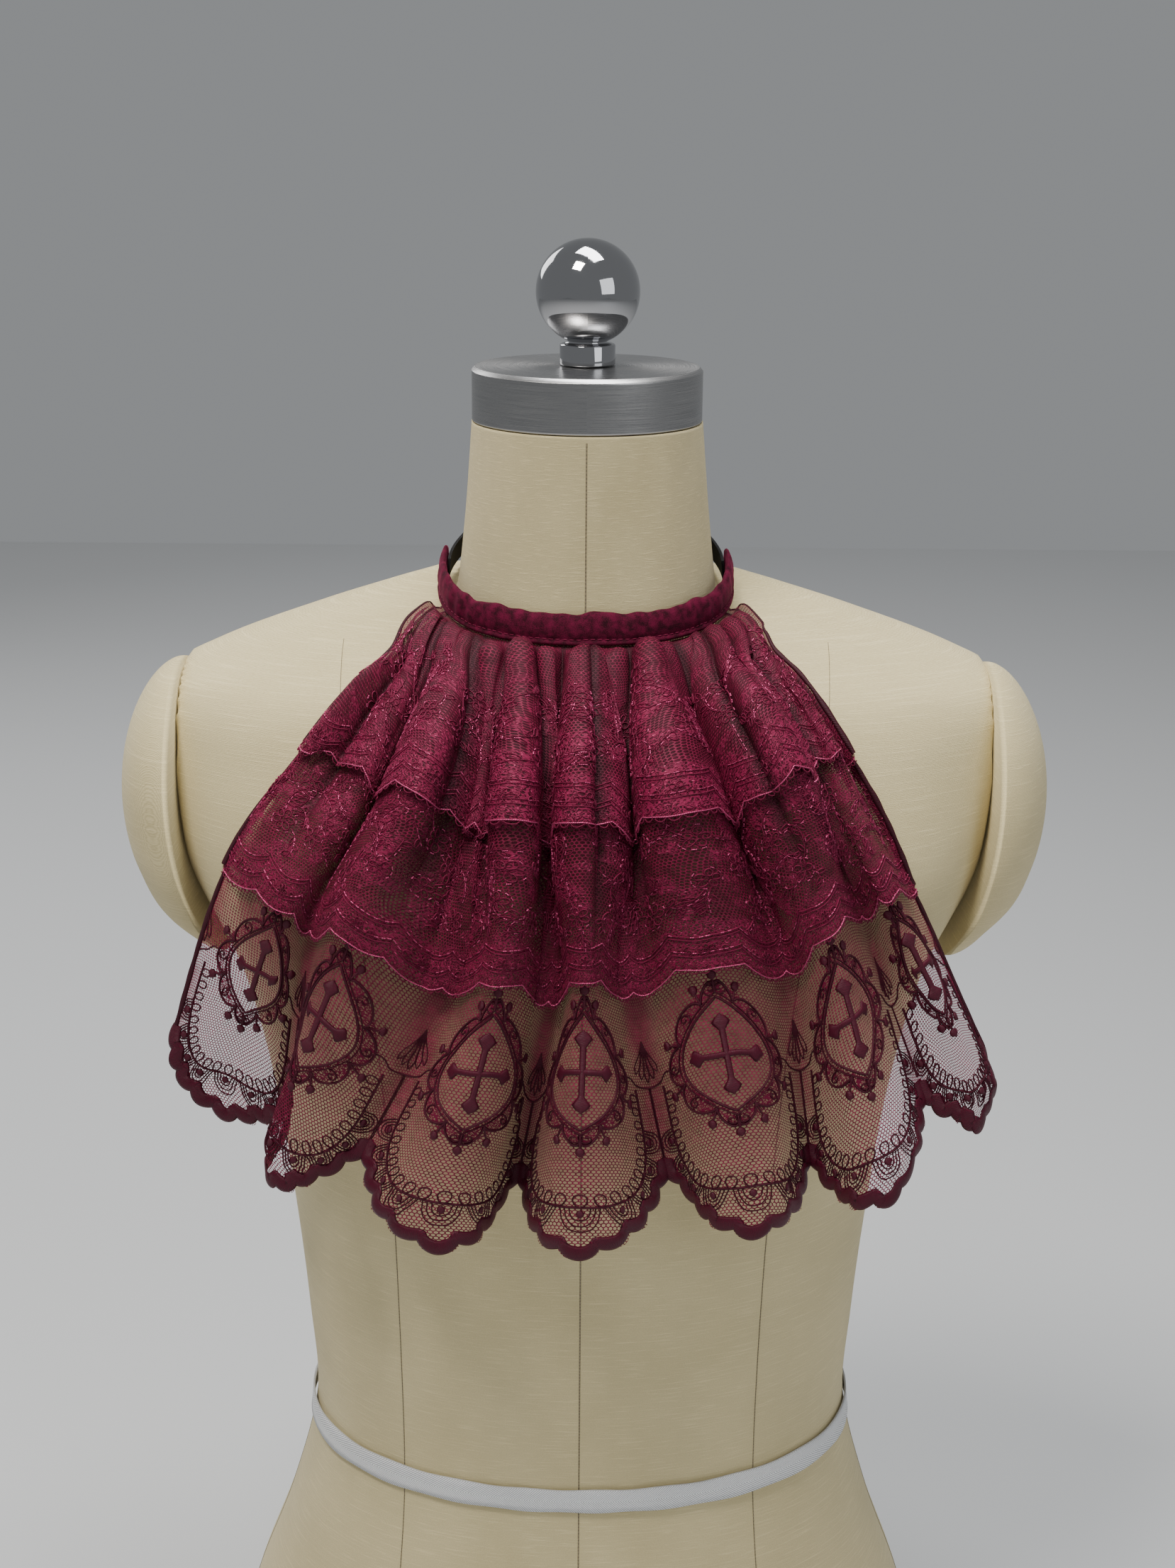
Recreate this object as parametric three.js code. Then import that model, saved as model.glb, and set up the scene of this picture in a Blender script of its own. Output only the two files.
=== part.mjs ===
// A lace bib collar, three gathered tiers on a velvet neckband, worn on a limbless dress form.
// Millimetres, +Z up. The front faces -Y, +X is the viewer's right, and z = 0 is the form's flat base.
import * as THREE from "three";

// ---------------------------------------------------------------- driving sizes
const gap = 0.4; // between pieces that meet
const wall = 1.0; // lace, net and its stitching
const rolledEdge = 0.45; // added to each side of the wall along the side hems
const waistHeight = 173;
const waistDip = 1.5; // how much lower the tape runs in front than at the sides
const neckTop = 639.5;
const capRadius = 49;
const capHeight = 23;
const postRadius = 11.8;
const postHeight = 9.6;
const ballRadius = 22;

const band = { halfWidth: 62.9, depth: 59.4, height: 13.2, thick: 3.2, front: 555.3, rise: 40, lean: 0.22, end: 99 };
const elastic = { wide: 9, thick: 1.2, overlap: 8 };
const tape = { wide: 11, thick: 0.9 };
const armCap = { halfDepth: 52, halfHeight: 67, middle: 467, bulge: 26 };

const bib = {
  halfAngle: 76, // degrees of the neckband that the lace is sewn to, each side of the middle
  scallops: 7,
  gathers: 14,
  gatherHeight: 1.1,
  fade: 46, // distance below the seam over which the gathers run out
  seamInset: 2.8, // from the neckband's middle in to the lowest tier's seam
  seamLayer: 3.3, // from one tier to the next at the seam
  freeLayer: 4.6, // from one tier to the next once they hang
  clearance: 2.1, // from the form to the middle of the lowest wall
  bow: 5, // how much longer each tier is at its side edges
};
const tiers = {
  short: { length: 84, layer: 2, waves: 21, waveDepth: 3.5 },
  middle: { length: 146, layer: 1, waves: 21, waveDepth: 3.5 },
  long: { length: 223, layer: 0, scallopDepth: 39, lobes: 9, lobeDepth: 4.2 },
};
const foldReach = [0, 82, 146, 250]; // distances below the seam that the fold table describes

// Sections of the torso from the base up: half width, depths in front of and behind the section's
// middle, its squareness, and how far back its middle lies.
const torsoSections = [
  { z: 0, half: 169, front: 112, back: 112, power: 2.2, middle: 0 },
  { z: 60, half: 161, front: 108, back: 107, power: 2.2, middle: 0 },
  { z: 120, half: 140, front: 100, back: 88, power: 2.2, middle: 0 },
  { z: 173, half: 127, front: 93, back: 76, power: 2.15, middle: 0 },
  { z: 225, half: 129, front: 97, back: 79, power: 2.1, middle: 0 },
  { z: 283, half: 134, front: 103, back: 88, power: 2.1, middle: 0 },
  { z: 340, half: 141, front: 112, back: 98, power: 2.1, middle: 0 },
  { z: 400, half: 155, front: 118, back: 104, power: 2.1, middle: 0 },
  { z: 450, half: 178, front: 109, back: 105, power: 2.1, middle: 0 },
  { z: 500, half: 190, front: 82, back: 97, power: 2, middle: 1 },
  { z: 525, half: 190, front: 70, back: 86, power: 1.95, middle: 7 },
  { z: 540, half: 162, front: 55, back: 74, power: 1.95, middle: 13 },
  { z: 554, half: 121, front: 39, back: 58, power: 2, middle: 20 },
  { z: 563, half: 92, front: 25, back: 44, power: 2, middle: 23 },
  { z: 568, half: 76, front: 16, back: 34, power: 2, middle: 23 },
  { z: 572, half: 60, front: 8, back: 24, power: 2, middle: 23 },
  { z: 575, half: 24, front: 2, back: 10, power: 2, middle: 23 },
];
const neckSections = [
  { z: 470, half: 40, front: 40, back: 40 },
  { z: 510, half: 56, front: 58, back: 58 },
  { z: 540, half: 59, front: 60, back: 60 },
  { z: 554, half: 57.6, front: 55.6, back: 59 },
  { z: 568, half: 56, front: 54, back: 57 },
  { z: 585, half: 54, front: 52, back: 55 },
  { z: 607, half: 51.8, front: 50.5, back: 52 },
  { z: 640, half: 49.2, front: 49.2, back: 49.2 },
];
const armPlane = [
  { z: 340, x: 150 },
  { z: 400, x: 160 },
  { z: 440, x: 171 },
  { z: 480, x: 176 },
  { z: 534, x: 176 },
  { z: 600, x: 176 },
];

// Each crest and valley of the hanging lace, in plan, where the short, middle and long tiers end.
// at is the share of the cloth's width from the left edge, round widens a fold's end, and slack is the
// share of its length that is lost in small creases.
const folds = [
  { at: 0 / 14, shortX: -109, shortY: -56, middleX: -147, middleY: -71, longX: -180, longY: -78, round: 1.0, slack: 0.02 },
  { at: 1 / 14, shortX: -92, shortY: -72, middleX: -121, middleY: -100, longX: -153, longY: -80, round: 1.4, slack: 0.04 },
  { at: 2 / 14, shortX: -77, shortY: -83, middleX: -109, middleY: -98, longX: -126, longY: -92, round: 0.8, slack: 0.0 },
  { at: 3 / 14, shortX: -61, shortY: -101, middleX: -91, middleY: -119, longX: -128, longY: -115, round: 1.15, slack: 0.0 },
  { at: 4 / 14, shortX: -41, shortY: -86, middleX: -55, middleY: -109, longX: -100, longY: -116, round: 0.8, slack: 0.0 },
  { at: 5 / 14, shortX: -28, shortY: -110, middleX: -32, middleY: -132, longX: -58, longY: -138, round: 1.4, slack: 0.0 },
  { at: 6 / 14, shortX: -12, shortY: -95, middleX: -13, middleY: -109, longX: -30, longY: -115, round: 0.8, slack: 0.0 },
  { at: 7 / 14, shortX: 1, shortY: -113, middleX: 1, middleY: -132, longX: 0, longY: -147, round: 1.2, slack: 0.03 },
  { at: 8 / 14, shortX: 16, shortY: -96, middleX: 20, middleY: -112, longX: 40, longY: -124, round: 0.8, slack: 0.02 },
  { at: 9 / 14, shortX: 36, shortY: -110, middleX: 50, middleY: -125, longX: 69, longY: -140, round: 1.5, slack: 0.04 },
  { at: 10 / 14, shortX: 61, shortY: -84, middleX: 82, middleY: -105, longX: 98, longY: -118, round: 0.7, slack: 0.0 },
  { at: 11 / 14, shortX: 73, shortY: -101, middleX: 97, middleY: -117, longX: 124, longY: -137, round: 1.3, slack: 0.02 },
  { at: 12 / 14, shortX: 85, shortY: -89, middleX: 112, middleY: -93, longX: 149, longY: -108, round: 0.8, slack: 0.0 },
  { at: 13 / 14, shortX: 91, shortY: -80, middleX: 121, middleY: -100, longX: 166, longY: -107, round: 1.1, slack: 0.06 },
  { at: 14 / 14, shortX: 102, shortY: -55, middleX: 134, middleY: -75, longX: 178, longY: -81, round: 1.0, slack: 0.05 },
];

// ---------------------------------------------------------------- curves and tables
const radians = Math.PI / 180;
const clamp = (x, low, high) => Math.min(high, Math.max(low, x));
const smooth = (x) => clamp(x, 0, 1) ** 2 * (3 - 2 * clamp(x, 0, 1));
const mix = (a, b, share) => a + (b - a) * share;

function hermite(a, b, slopeA, slopeB, t) {
  const t2 = t * t;
  const t3 = t2 * t;
  return a * (2 * t3 - 3 * t2 + 1) + slopeA * (t3 - 2 * t2 + t) + b * (3 * t2 - 2 * t3) + slopeB * (t3 - t2);
}

// A smooth curve through knots and values that need not be evenly spaced.
function through(knots, values, x) {
  const last = knots.length - 1;
  const at = clamp(x, knots[0], knots[last]);
  let i = 0;
  while (i < last - 1 && at > knots[i + 1]) i += 1;
  const slope = (k) => {
    const low = Math.max(k - 1, 0);
    const high = Math.min(k + 1, last);
    return (values[high] - values[low]) / (knots[high] - knots[low]);
  };
  const span = knots[i + 1] - knots[i];
  return hermite(values[i], values[i + 1], slope(i) * span, slope(i + 1) * span, (at - knots[i]) / span);
}

const column = (rows, key) => rows.map((row) => row[key]);
function tableReader(rows, key) {
  const knots = column(rows, "z");
  const values = column(rows, key);
  return (z) => through(knots, values, z);
}

// ---------------------------------------------------------------- the dress form's surface
const readers = (rows, keys) => Object.fromEntries(keys.map((key) => [key, tableReader(rows, key)]));
const torso = readers(torsoSections, ["half", "front", "back", "power", "middle"]);
const neck = readers(neckSections, ["half", "front", "back"]);
const armX = tableReader(armPlane, "x");
const [torsoTop, neckFoot] = [torsoSections.at(-1).z, neckSections[0].z];

// How far a place lies within the form: below 1 inside, above 1 outside.
function formLevel(x, y, z) {
  const oval = (part, back, power) => {
    const depth = back > 0 ? part.back(z) : part.front(z);
    return (Math.abs(x) / part.half(z)) ** power + (Math.abs(back) / depth) ** power;
  };
  const body = z < torsoTop ? oval(torso, y - torso.middle(z), torso.power(z)) : Infinity;
  const throat = z > neckFoot ? oval(neck, y, 2) : Infinity;
  const joined = (body ** -7 + throat ** -7) ** (-1 / 7);
  return z > 320 ? Math.max(joined, Math.abs(x) / armX(z)) : joined;
}

// The outermost distance along a line from a place inside at which the form ends.
function formReach(from, direction, z, most) {
  const inside = (d) => formLevel(from[0] + d * direction[0], from[1] + d * direction[1], z) < 1;
  const step = 6;
  let far = most;
  while (far > 0 && !inside(far)) far -= step;
  if (far <= 0) return 0;
  let near = far;
  far += step;
  for (let i = 0; i < 22; i += 1) {
    const middle = (near + far) / 2;
    if (inside(middle)) near = middle;
    else far = middle;
  }
  return near;
}

// Distance from the axis to the form's surface; turn 0 faces the front, and a quarter turn +X.
const formRadius = (turn, z) => formReach([0, 0], [Math.sin(turn), -Math.cos(turn)], z, 240);

// ---------------------------------------------------------------- closed bodies
function solid(name, material, positions, indices) {
  const geometry = new THREE.BufferGeometry();
  geometry.setAttribute("position", new THREE.Float32BufferAttribute(positions.flat(), 3));
  geometry.setIndex(indices);
  geometry.computeVertexNormals();
  const mesh = new THREE.Mesh(geometry, material);
  mesh.name = name;
  return mesh;
}

// Rings of equal length, joined one to the next; open ends are closed on their middle points.
function ringBody(rings, closedPath) {
  const count = rings[0].length;
  const positions = rings.flat();
  const indices = [];
  const steps = closedPath ? rings.length : rings.length - 1;
  for (let r = 0; r < steps; r += 1)
    for (let i = 0; i < count; i += 1) {
      const next = (r + 1) % rings.length;
      const [a, b] = [r * count + i, r * count + ((i + 1) % count)];
      const [c, d] = [next * count + i, next * count + ((i + 1) % count)];
      indices.push(a, b, d, a, d, c);
    }
  if (closedPath) return [positions, indices];
  [0, rings.length - 1].forEach((r) => {
    const middle = [0, 1, 2].map((k) => rings[r].reduce((sum, p) => sum + p[k], 0) / count);
    positions.push(middle);
    for (let i = 0; i < count; i += 1) {
      const pair = [r * count + i, r * count + ((i + 1) % count)];
      indices.push(positions.length - 1, ...(r === 0 ? pair.reverse() : pair));
    }
  });
  return [positions, indices];
}

// ---------------------------------------------------------------- the neckband's path
const bandFoot = (turn) => band.front + band.rise * ((1 - Math.cos(turn)) / 2) ** 1.75;
const bandPlan = (turn, out) => [
  (band.halfWidth + out) * Math.sin(turn),
  -(band.depth + out) * Math.cos(turn),
];

// ---------------------------------------------------------------- the lace's surface
const foldShares = column(folds, "at");
const foldKeys = ["short", "middle", "long"];

// A crest or valley's place in plan at a distance below the seam.
function foldPlace(fold, axis, seam, down) {
  const values = [seam, ...foldKeys.map((k) => fold[k + axis])];
  return through(foldReach, values, down);
}

function planPoint(share, down) {
  const last = folds.length - 1;
  let i = 0;
  while (i < last - 1 && share > foldShares[i + 1]) i += 1;
  const t = (share - foldShares[i]) / (foldShares[i + 1] - foldShares[i]);
  return ["X", "Y"].map((axis, k) => {
    const place = (n) => {
      const fold = folds[clamp(n, 0, last)];
      return foldPlace(fold, axis, bandPlan((2 * fold.at - 1) * bib.halfAngle * radians, -bib.seamInset)[k], down);
    };
    const slope = (n) => (mix(1, folds[n].round, smooth(down / 60)) * (place(n + 1) - place(n - 1))) / 2;
    return hermite(place(i), place(i + 1), slope(i), slope(i + 1), t);
  });
}

function gatherWave(share, down) {
  const uneven = share + 0.012 * Math.sin(share * 21) + 0.006 * Math.sin(share * 47 + 1);
  const strength = smooth(down / 9) * (1 - smooth((down - 12) / bib.fade));
  return bib.gatherHeight * strength * Math.cos(2 * Math.PI * bib.gathers * uneven);
}

// Moves a place that is too close to the form straight out from it.
function heldOff(point) {
  const level = formLevel(...point);
  if (level > 1.5) return point;
  const slope = [0, 1, 2].map((k) => (formLevel(...point.map((p, i) => p + (i === k ? 0.5 : 0))) - level) / 0.5);
  const steepness = Math.hypot(...slope);
  const lack = bib.clearance - (level - 1) / steepness;
  return lack > 0 ? point.map((p, k) => p + (lack * slope[k]) / steepness) : point;
}

// One thread of the lowest tier from the seam down: x and y follow the folds, z keeps its true length,
// and the form holds it off.
const threadStep = 1.5;
const longestThread = 280;
const threads = new Map();
function thread(share) {
  const key = share.toFixed(6);
  if (threads.has(key)) return threads.get(key);
  const turn = (2 * share - 1) * bib.halfAngle * radians;
  const seam = bandPlan(turn, -bib.seamInset);
  const held = 1 - through(foldShares, column(folds, "slack"), share);
  let fall = bandFoot(turn) - 1.6 * gap;
  let before = seam;
  const points = [[...seam, fall]];
  for (let down = threadStep; down <= longestThread; down += threadStep) {
    const free = smooth(down / 7);
    const gather = gatherWave(share, down);
    const [x, y] = planPoint(share, down).map(
      (place, k) => mix(seam[k], place, free) + gather * [Math.sin(turn), -Math.cos(turn)][k],
    );
    const flat = Math.hypot(x - before[0], y - before[1]);
    fall -= held * Math.sqrt(Math.max(threadStep ** 2 - flat ** 2, (0.25 * threadStep) ** 2));
    before = [x, y];
    points.push(heldOff([x, y, fall]));
  }
  threads.set(key, points);
  return points;
}

function threadPoint(share, down) {
  const points = thread(clamp(share, 0, 1));
  const at = clamp(down / threadStep, 0, points.length - 1.001);
  const i = Math.floor(at);
  return [0, 1, 2].map((k) => mix(points[i][k], points[i + 1][k], at - i));
}

// A place on a tier: the upper tiers stand off the lowest one, square to its threads, and lift a little
// where they turn over the shoulders.
function clothPoint(layer, share, down) {
  const point = threadPoint(share, down);
  if (layer === 0) return point;
  const [above, below] = [threadPoint(share, Math.max(down - 6, 0)), threadPoint(share, down + 6)];
  const along = new THREE.Vector3(...below).sub(new THREE.Vector3(...above)).normalize();
  const turn = (2 * share - 1) * mix(bib.halfAngle, 24, smooth((down - 4) / 36)) * radians;
  const lift = 0.15 * smooth((down - 1) / 8) * (1 - smooth((down - 20) / 40));
  const away = new THREE.Vector3(Math.sin(turn), -Math.cos(turn), lift);
  away.addScaledVector(along, -away.dot(along) * smooth(down / 6)).normalize();
  const off = layer * mix(bib.seamLayer, bib.freeLayer, smooth(down / 30));
  return point.map((p, k) => p + off * away.getComponent(k));
}

function clothNormal(layer, share, down) {
  const near = 0.004;
  const reach = 2.5;
  const across = new THREE.Vector3(...clothPoint(layer, share + near, down)).sub(
    new THREE.Vector3(...clothPoint(layer, share - near, down)),
  );
  const along = new THREE.Vector3(...clothPoint(layer, share, down + reach)).sub(
    new THREE.Vector3(...clothPoint(layer, share, Math.max(down - reach, 0))),
  );
  return across.cross(along).normalize().negate();
}

// A wall between rows of places on the cloth, given as share and distance down; rows may differ in count.
function clothWall(name, material, layer, rows) {
  const positions = [];
  const starts = [];
  const thickness = (share, down) =>
    wall / 2 + rolledEdge * smooth(1 - Math.min(share, 1 - share) / 0.012) * smooth(down / 40);
  for (const side of [1, -1])
    for (const row of rows) {
      starts.push(positions.length);
      for (const [share, down] of row) {
        const normal = clothNormal(layer, share, down);
        const point = clothPoint(layer, share, down);
        positions.push(["x", "y", "z"].map((axis, k) => point[k] + side * thickness(share, down) * normal[axis]));
      }
    }
  const indices = [];
  const face = (a, b, c, flip) => indices.push(...(flip ? [a, c, b] : [a, b, c]));
  for (let r = 0; r < rows.length - 1; r += 1) {
    const [upper, lower] = [rows[r], rows[r + 1]];
    const rank = (row, i) => (row.steps ? row.steps[i] : i / (row.length - 1));
    for (const [side, flip] of [[0, false], [1, true]]) {
      const [a0, b0] = [starts[side * rows.length + r], starts[side * rows.length + r + 1]];
      let [i, j] = [0, 0];
      while (i < upper.length - 1 || j < lower.length - 1) {
        const upperNext = i < upper.length - 1 ? rank(upper, i + 1) : Infinity;
        const lowerNext = j < lower.length - 1 ? rank(lower, j + 1) : Infinity;
        if (upperNext <= lowerNext + 1e-9) {
          face(a0 + i, b0 + j, a0 + i + 1, flip);
          i += 1;
        } else {
          face(a0 + i, b0 + j, b0 + j + 1, flip);
          j += 1;
        }
      }
    }
  }
  const frontLoop = (side) => {
    const at = (r, i) => starts[side * rows.length + r] + i;
    return [
      ...rows[0].map((_, i) => at(0, i)),
      ...rows.slice(1, -1).map((row, r) => at(r + 1, row.length - 1)),
      ...rows.at(-1).map((_, i) => at(rows.length - 1, i)).reverse(),
      ...rows.slice(1, -1).map((_, r) => at(r + 1, 0)).reverse(),
    ];
  };
  const [front, back] = [frontLoop(0), frontLoop(1)];
  front.forEach((a, i) => {
    const n = (i + 1) % front.length;
    indices.push(a, front[n], back[n], a, back[n], back[i]);
  });
  return solid(name, material, positions, indices);
}

const columns = 84; // steps across every tier, four to each wave of the hems
const evenRow = (count, down) =>
  Array.from({ length: count + 1 }, (_, i) => [i / count, typeof down === "function" ? down(i / count) : down]);

// ---------------------------------------------------------------- materials
const finish = (color, roughness, metalness = 0) => new THREE.MeshStandardMaterial({ color, roughness, metalness });
const linen = finish(0xcfc3a0, 0.85);
const steel = finish(0xb9bcc0, 0.3, 1);
const chrome = finish(0xd9dadc, 0.08, 1);
const velvet = finish(0x4a0a20, 0.7);
const lace = finish(0x6d1238, 0.75);
const net = finish(0x5d1030, 0.75);
const rubber = finish(0x0c0c0d, 0.7);
const twill = finish(0xe4e6e8, 0.8);

// ---------------------------------------------------------------- pieces of the dress form
function formTorso() {
  const around = 48;
  const body = [0, 30, 60, 95, 130, 157, 173, 190, 225, 283, 330, 370, 405, 440, 475];
  const shoulders = [505, 522, 534, 544, 554, 562, 568, 573, 580, 600];
  const heights = [...body, ...shoulders, neckTop];
  const rings = heights.map((z) =>
    Array.from({ length: around }, (_, i) => {
      const turn = (i / around) * 2 * Math.PI;
      const reach = formRadius(turn, z);
      return [reach * Math.sin(turn), -reach * Math.cos(turn), z];
    }),
  );
  return solid("form_torso", linen, ...ringBody(rings, false));
}

// A padded dome on the armhole's flat, its back following the torso.
function formArmCap(name, sign) {
  const around = 24;
  const rings = [];
  const place = (ring, turn, out) => {
    const y = armCap.halfDepth * ring * Math.cos(turn);
    const z = armCap.middle + armCap.halfHeight * ring * Math.sin(turn);
    return [sign * (armX(z) + gap + out), y, z];
  };
  const ringOf = (ring, out) => Array.from({ length: around }, (_, i) => place(ring, (sign * i * 2 * Math.PI) / around, out));
  rings.push(ringOf(0.05, 0.3), ringOf(0.5, 0.3), ringOf(1, 0.3));
  for (const ring of [0.97, 0.88, 0.72, 0.5, 0.25]) rings.push(ringOf(ring, 2 + armCap.bulge * (1 - ring ** 2.4) ** 0.6));
  return solid(name, linen, ...ringBody(rings, false));
}

function lathe(name, material, outline, segments) {
  const profile = outline.map(([r, z]) => new THREE.Vector2(r, z));
  const geometry = new THREE.LatheGeometry(profile, segments);
  geometry.rotateX(Math.PI / 2);
  const mesh = new THREE.Mesh(geometry, material);
  mesh.name = name;
  return mesh;
}

function neckCap() {
  const [foot, top] = [neckTop + gap, neckTop + gap + capHeight];
  return lathe("neck_cap", steel, [[0, foot], [capRadius, foot], [capRadius, top - 2], [capRadius - 1.5, top - 0.4], [0, top]], 48);
}

function finial() {
  const foot = neckTop + 2 * gap + capHeight;
  const middle = foot + postHeight + Math.sqrt(ballRadius ** 2 - 8 ** 2);
  const outline = [[0, foot], [postRadius, foot], [postRadius, foot + postHeight - 1.2], [8, foot + postHeight]];
  const start = Math.asin(8 / ballRadius);
  const steps = 11;
  for (let i = 1; i <= steps; i += 1) {
    const polar = Math.PI - start - ((Math.PI - start) * i) / steps;
    outline.push([i === steps ? 0 : ballRadius * Math.sin(polar), middle + ballRadius * Math.cos(polar)]);
  }
  return lathe("ball_finial", chrome, outline, 28);
}

function waistTape() {
  const around = 48;
  const rings = Array.from({ length: around }, (_, i) => {
    const turn = (i / around) * 2 * Math.PI;
    return [[-1, 0], [1, 0], [1, 1], [-1, 1]].map(([up, out]) => {
      const z = waistHeight - waistDip * Math.cos(turn) + (up * tape.wide) / 2;
      const reach = formRadius(turn, z) + gap + 0.6 + out * tape.thick;
      return [reach * Math.sin(turn), -reach * Math.cos(turn), z];
    });
  });
  return solid("waist_tape", twill, ...ringBody(rings, true));
}

// ---------------------------------------------------------------- pieces of the collar
function neckband() {
  const steps = 56;
  const corner = 0.7;
  const section = [[-1, 0], [-1, 1 - corner / band.height], [-0.5, 1], [0.5, 1], [1, 1 - corner / band.height], [1, 0]];
  const rings = Array.from({ length: steps + 1 }, (_, i) => {
    const turn = mix(-band.end, band.end, i / steps) * radians;
    const ripple = 0.5 * Math.sin(turn * 9 + 0.6) + 0.35 * Math.sin(turn * 17);
    return section.map(([side, up]) => {
      const height = up * band.height * (1 + 0.05 * ripple);
      const inward = band.lean * height * (0.4 + 0.6 * Math.cos(turn));
      const [x, y] = bandPlan(turn, (side * band.thick) / 2 - inward);
      return [x, y, bandFoot(turn) + height * Math.cos(band.lean)];
    });
  });
  return solid("neckband", velvet, ...ringBody(rings, false));
}

function neckElastic() {
  const steps = 32;
  const [from, to] = [(band.end - elastic.overlap) * radians, (360 - band.end + elastic.overlap) * radians];
  const rings = Array.from({ length: steps + 1 }, (_, i) => {
    const turn = mix(from, to, i / steps);
    const behind = smooth(Math.min(i, steps - i) / 7);
    const foot = bandFoot(turn) + 2.5;
    return [[-1, 0], [-1, 1], [1, 1], [1, 0]].map(([side, up]) => {
      const z = foot + up * elastic.wide;
      const inward = band.lean * (up * elastic.wide + 2.5) * (0.4 + 0.6 * Math.cos(turn));
      const inside = bandPlan(turn, -band.thick / 2 - gap - elastic.thick - inward);
      const reach = formRadius(turn, z) + 0.7;
      const near = [reach * Math.sin(turn), -reach * Math.cos(turn)];
      const out = (side + 1) / 2 * elastic.thick;
      const [x, y] = [0, 1].map((k) => mix(inside[k], near[k], behind));
      return [x + out * Math.sin(turn), y - out * Math.cos(turn), z];
    });
  });
  return solid("neck_elastic", rubber, ...ringBody(rings, false));
}

const hemLength = (length, share) => length + bib.bow * (2 * share - 1) ** 2;

// The lobed edge of the long tier's scallops, as share and distance down for each step along it.
function scallopEdge(perLobe) {
  const { length, scallopDepth, lobes, lobeDepth } = tiers.long;
  const half = 39;
  const row = [];
  const steps = [];
  const drop = (q) => scallopDepth * (1 - Math.abs(q) ** 1.45);
  for (let s = 0; s < bib.scallops; s += 1)
    for (let i = s === 0 ? 0 : 1; i <= lobes * perLobe; i += 1) {
      const q = -1 + (2 * i) / (lobes * perLobe);
      const slope = (drop(Math.min(q + 0.01, 1)) - drop(Math.max(q - 0.01, -1))) / (0.02 * half);
      const size = Math.hypot(1, slope);
      const bulge = lobeDepth * Math.abs(Math.sin((Math.PI * i) / perLobe)) ** 0.8;
      const across = Math.abs(q) === 1 ? q : clamp(q - ((slope / size) * bulge) / half, -0.97, 0.97);
      const share = (s + (across + 1) / 2) / bib.scallops;
      row.push([share, hemLength(length, share) + drop(q) + bulge / size]);
      steps.push((s + (q + 1) / 2) / bib.scallops);
    }
  return [row, steps];
}

function longTier() {
  const rows = [0, 4, 9, 20, 38, 60, 84, 110, 132, 152, 178, 204].map((down) => evenRow(columns, down));
  const [edge, steps] = scallopEdge(3);
  const lastDown = rows.at(-1)[0][1];
  const halfway = edge.map(([share, down], i) => [mix(steps[i], share, 0.6), mix(lastDown, down, 0.6)]);
  halfway.steps = steps;
  edge.steps = steps;
  return clothWall("long_tier", net, tiers.long.layer, [...rows, halfway, edge]);
}

function wavedTier(name, { length, layer, waves, waveDepth }, downs) {
  const hem = (share) => hemLength(length, share) + waveDepth * Math.abs(Math.sin(Math.PI * waves * share)) ** 0.8;
  return clothWall(name, lace, layer, [...downs.map((down) => evenRow(columns, down)), evenRow(columns, hem)]);
}

const group = new THREE.Group();
group.add(
  formTorso(),
  formArmCap("arm_cap_right", 1),
  formArmCap("arm_cap_left", -1),
  neckCap(),
  finial(),
  waistTape(),
  neckband(),
  neckElastic(),
  longTier(),
  wavedTier("middle_tier", tiers.middle, [0, 4, 9, 20, 38, 60, 84, 110, 130]),
  wavedTier("short_tier", tiers.short, [0, 4, 9, 20, 38, 60]),
);

export default group;
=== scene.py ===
import math
import random

import bpy
import numpy as np
from mathutils import Matrix


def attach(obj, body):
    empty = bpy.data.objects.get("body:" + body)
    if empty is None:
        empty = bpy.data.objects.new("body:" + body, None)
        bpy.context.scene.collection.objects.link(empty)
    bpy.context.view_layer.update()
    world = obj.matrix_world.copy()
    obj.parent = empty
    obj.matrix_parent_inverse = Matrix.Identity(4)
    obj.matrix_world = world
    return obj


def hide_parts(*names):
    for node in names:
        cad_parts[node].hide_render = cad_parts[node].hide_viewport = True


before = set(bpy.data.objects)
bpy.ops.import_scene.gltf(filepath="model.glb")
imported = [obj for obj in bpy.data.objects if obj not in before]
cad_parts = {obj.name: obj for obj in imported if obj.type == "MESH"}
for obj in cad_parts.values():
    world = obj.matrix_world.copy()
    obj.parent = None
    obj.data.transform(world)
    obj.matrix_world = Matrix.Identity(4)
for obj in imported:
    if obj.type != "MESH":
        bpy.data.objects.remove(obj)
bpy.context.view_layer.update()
print("frame loaded")

# lengths in this file are in mm until a mesh is made
mm = 0.001
gap = 0.4
tau = 2 * math.pi

# curves


def smooth(x):
    x = np.clip(x, 0, 1)
    return x * x * (3 - 2 * x)


def mix(a, b, t):
    return a + (b - a) * t


def hermite(a, b, slopeA, slopeB, t):
    t2, t3 = t * t, t * t * t
    start, end = a * (2 * t3 - 3 * t2 + 1), b * (3 * t2 - 2 * t3)
    return start + slopeA * (t3 - 2 * t2 + t) + end + slopeB * (t3 - t2)


# distance along a path, at each of its points
def runAlong(path):
    return np.concatenate([[0], np.cumsum(np.linalg.norm(np.diff(path, axis=0), axis=1))])


# the same path in points at equal distances
def evenly(path, count):
    run = runAlong(path)
    at = np.linspace(0, run[-1], count)
    return np.stack([np.interp(at, run, path[:, k]) for k in (0, 1)], -1)


# unit normals of a plane path
def normalsOf(path):
    ahead = np.gradient(path, axis=0)
    ahead /= np.linalg.norm(ahead, axis=1, keepdims=True)
    return np.stack([-ahead[:, 1], ahead[:, 0]], -1)


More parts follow.
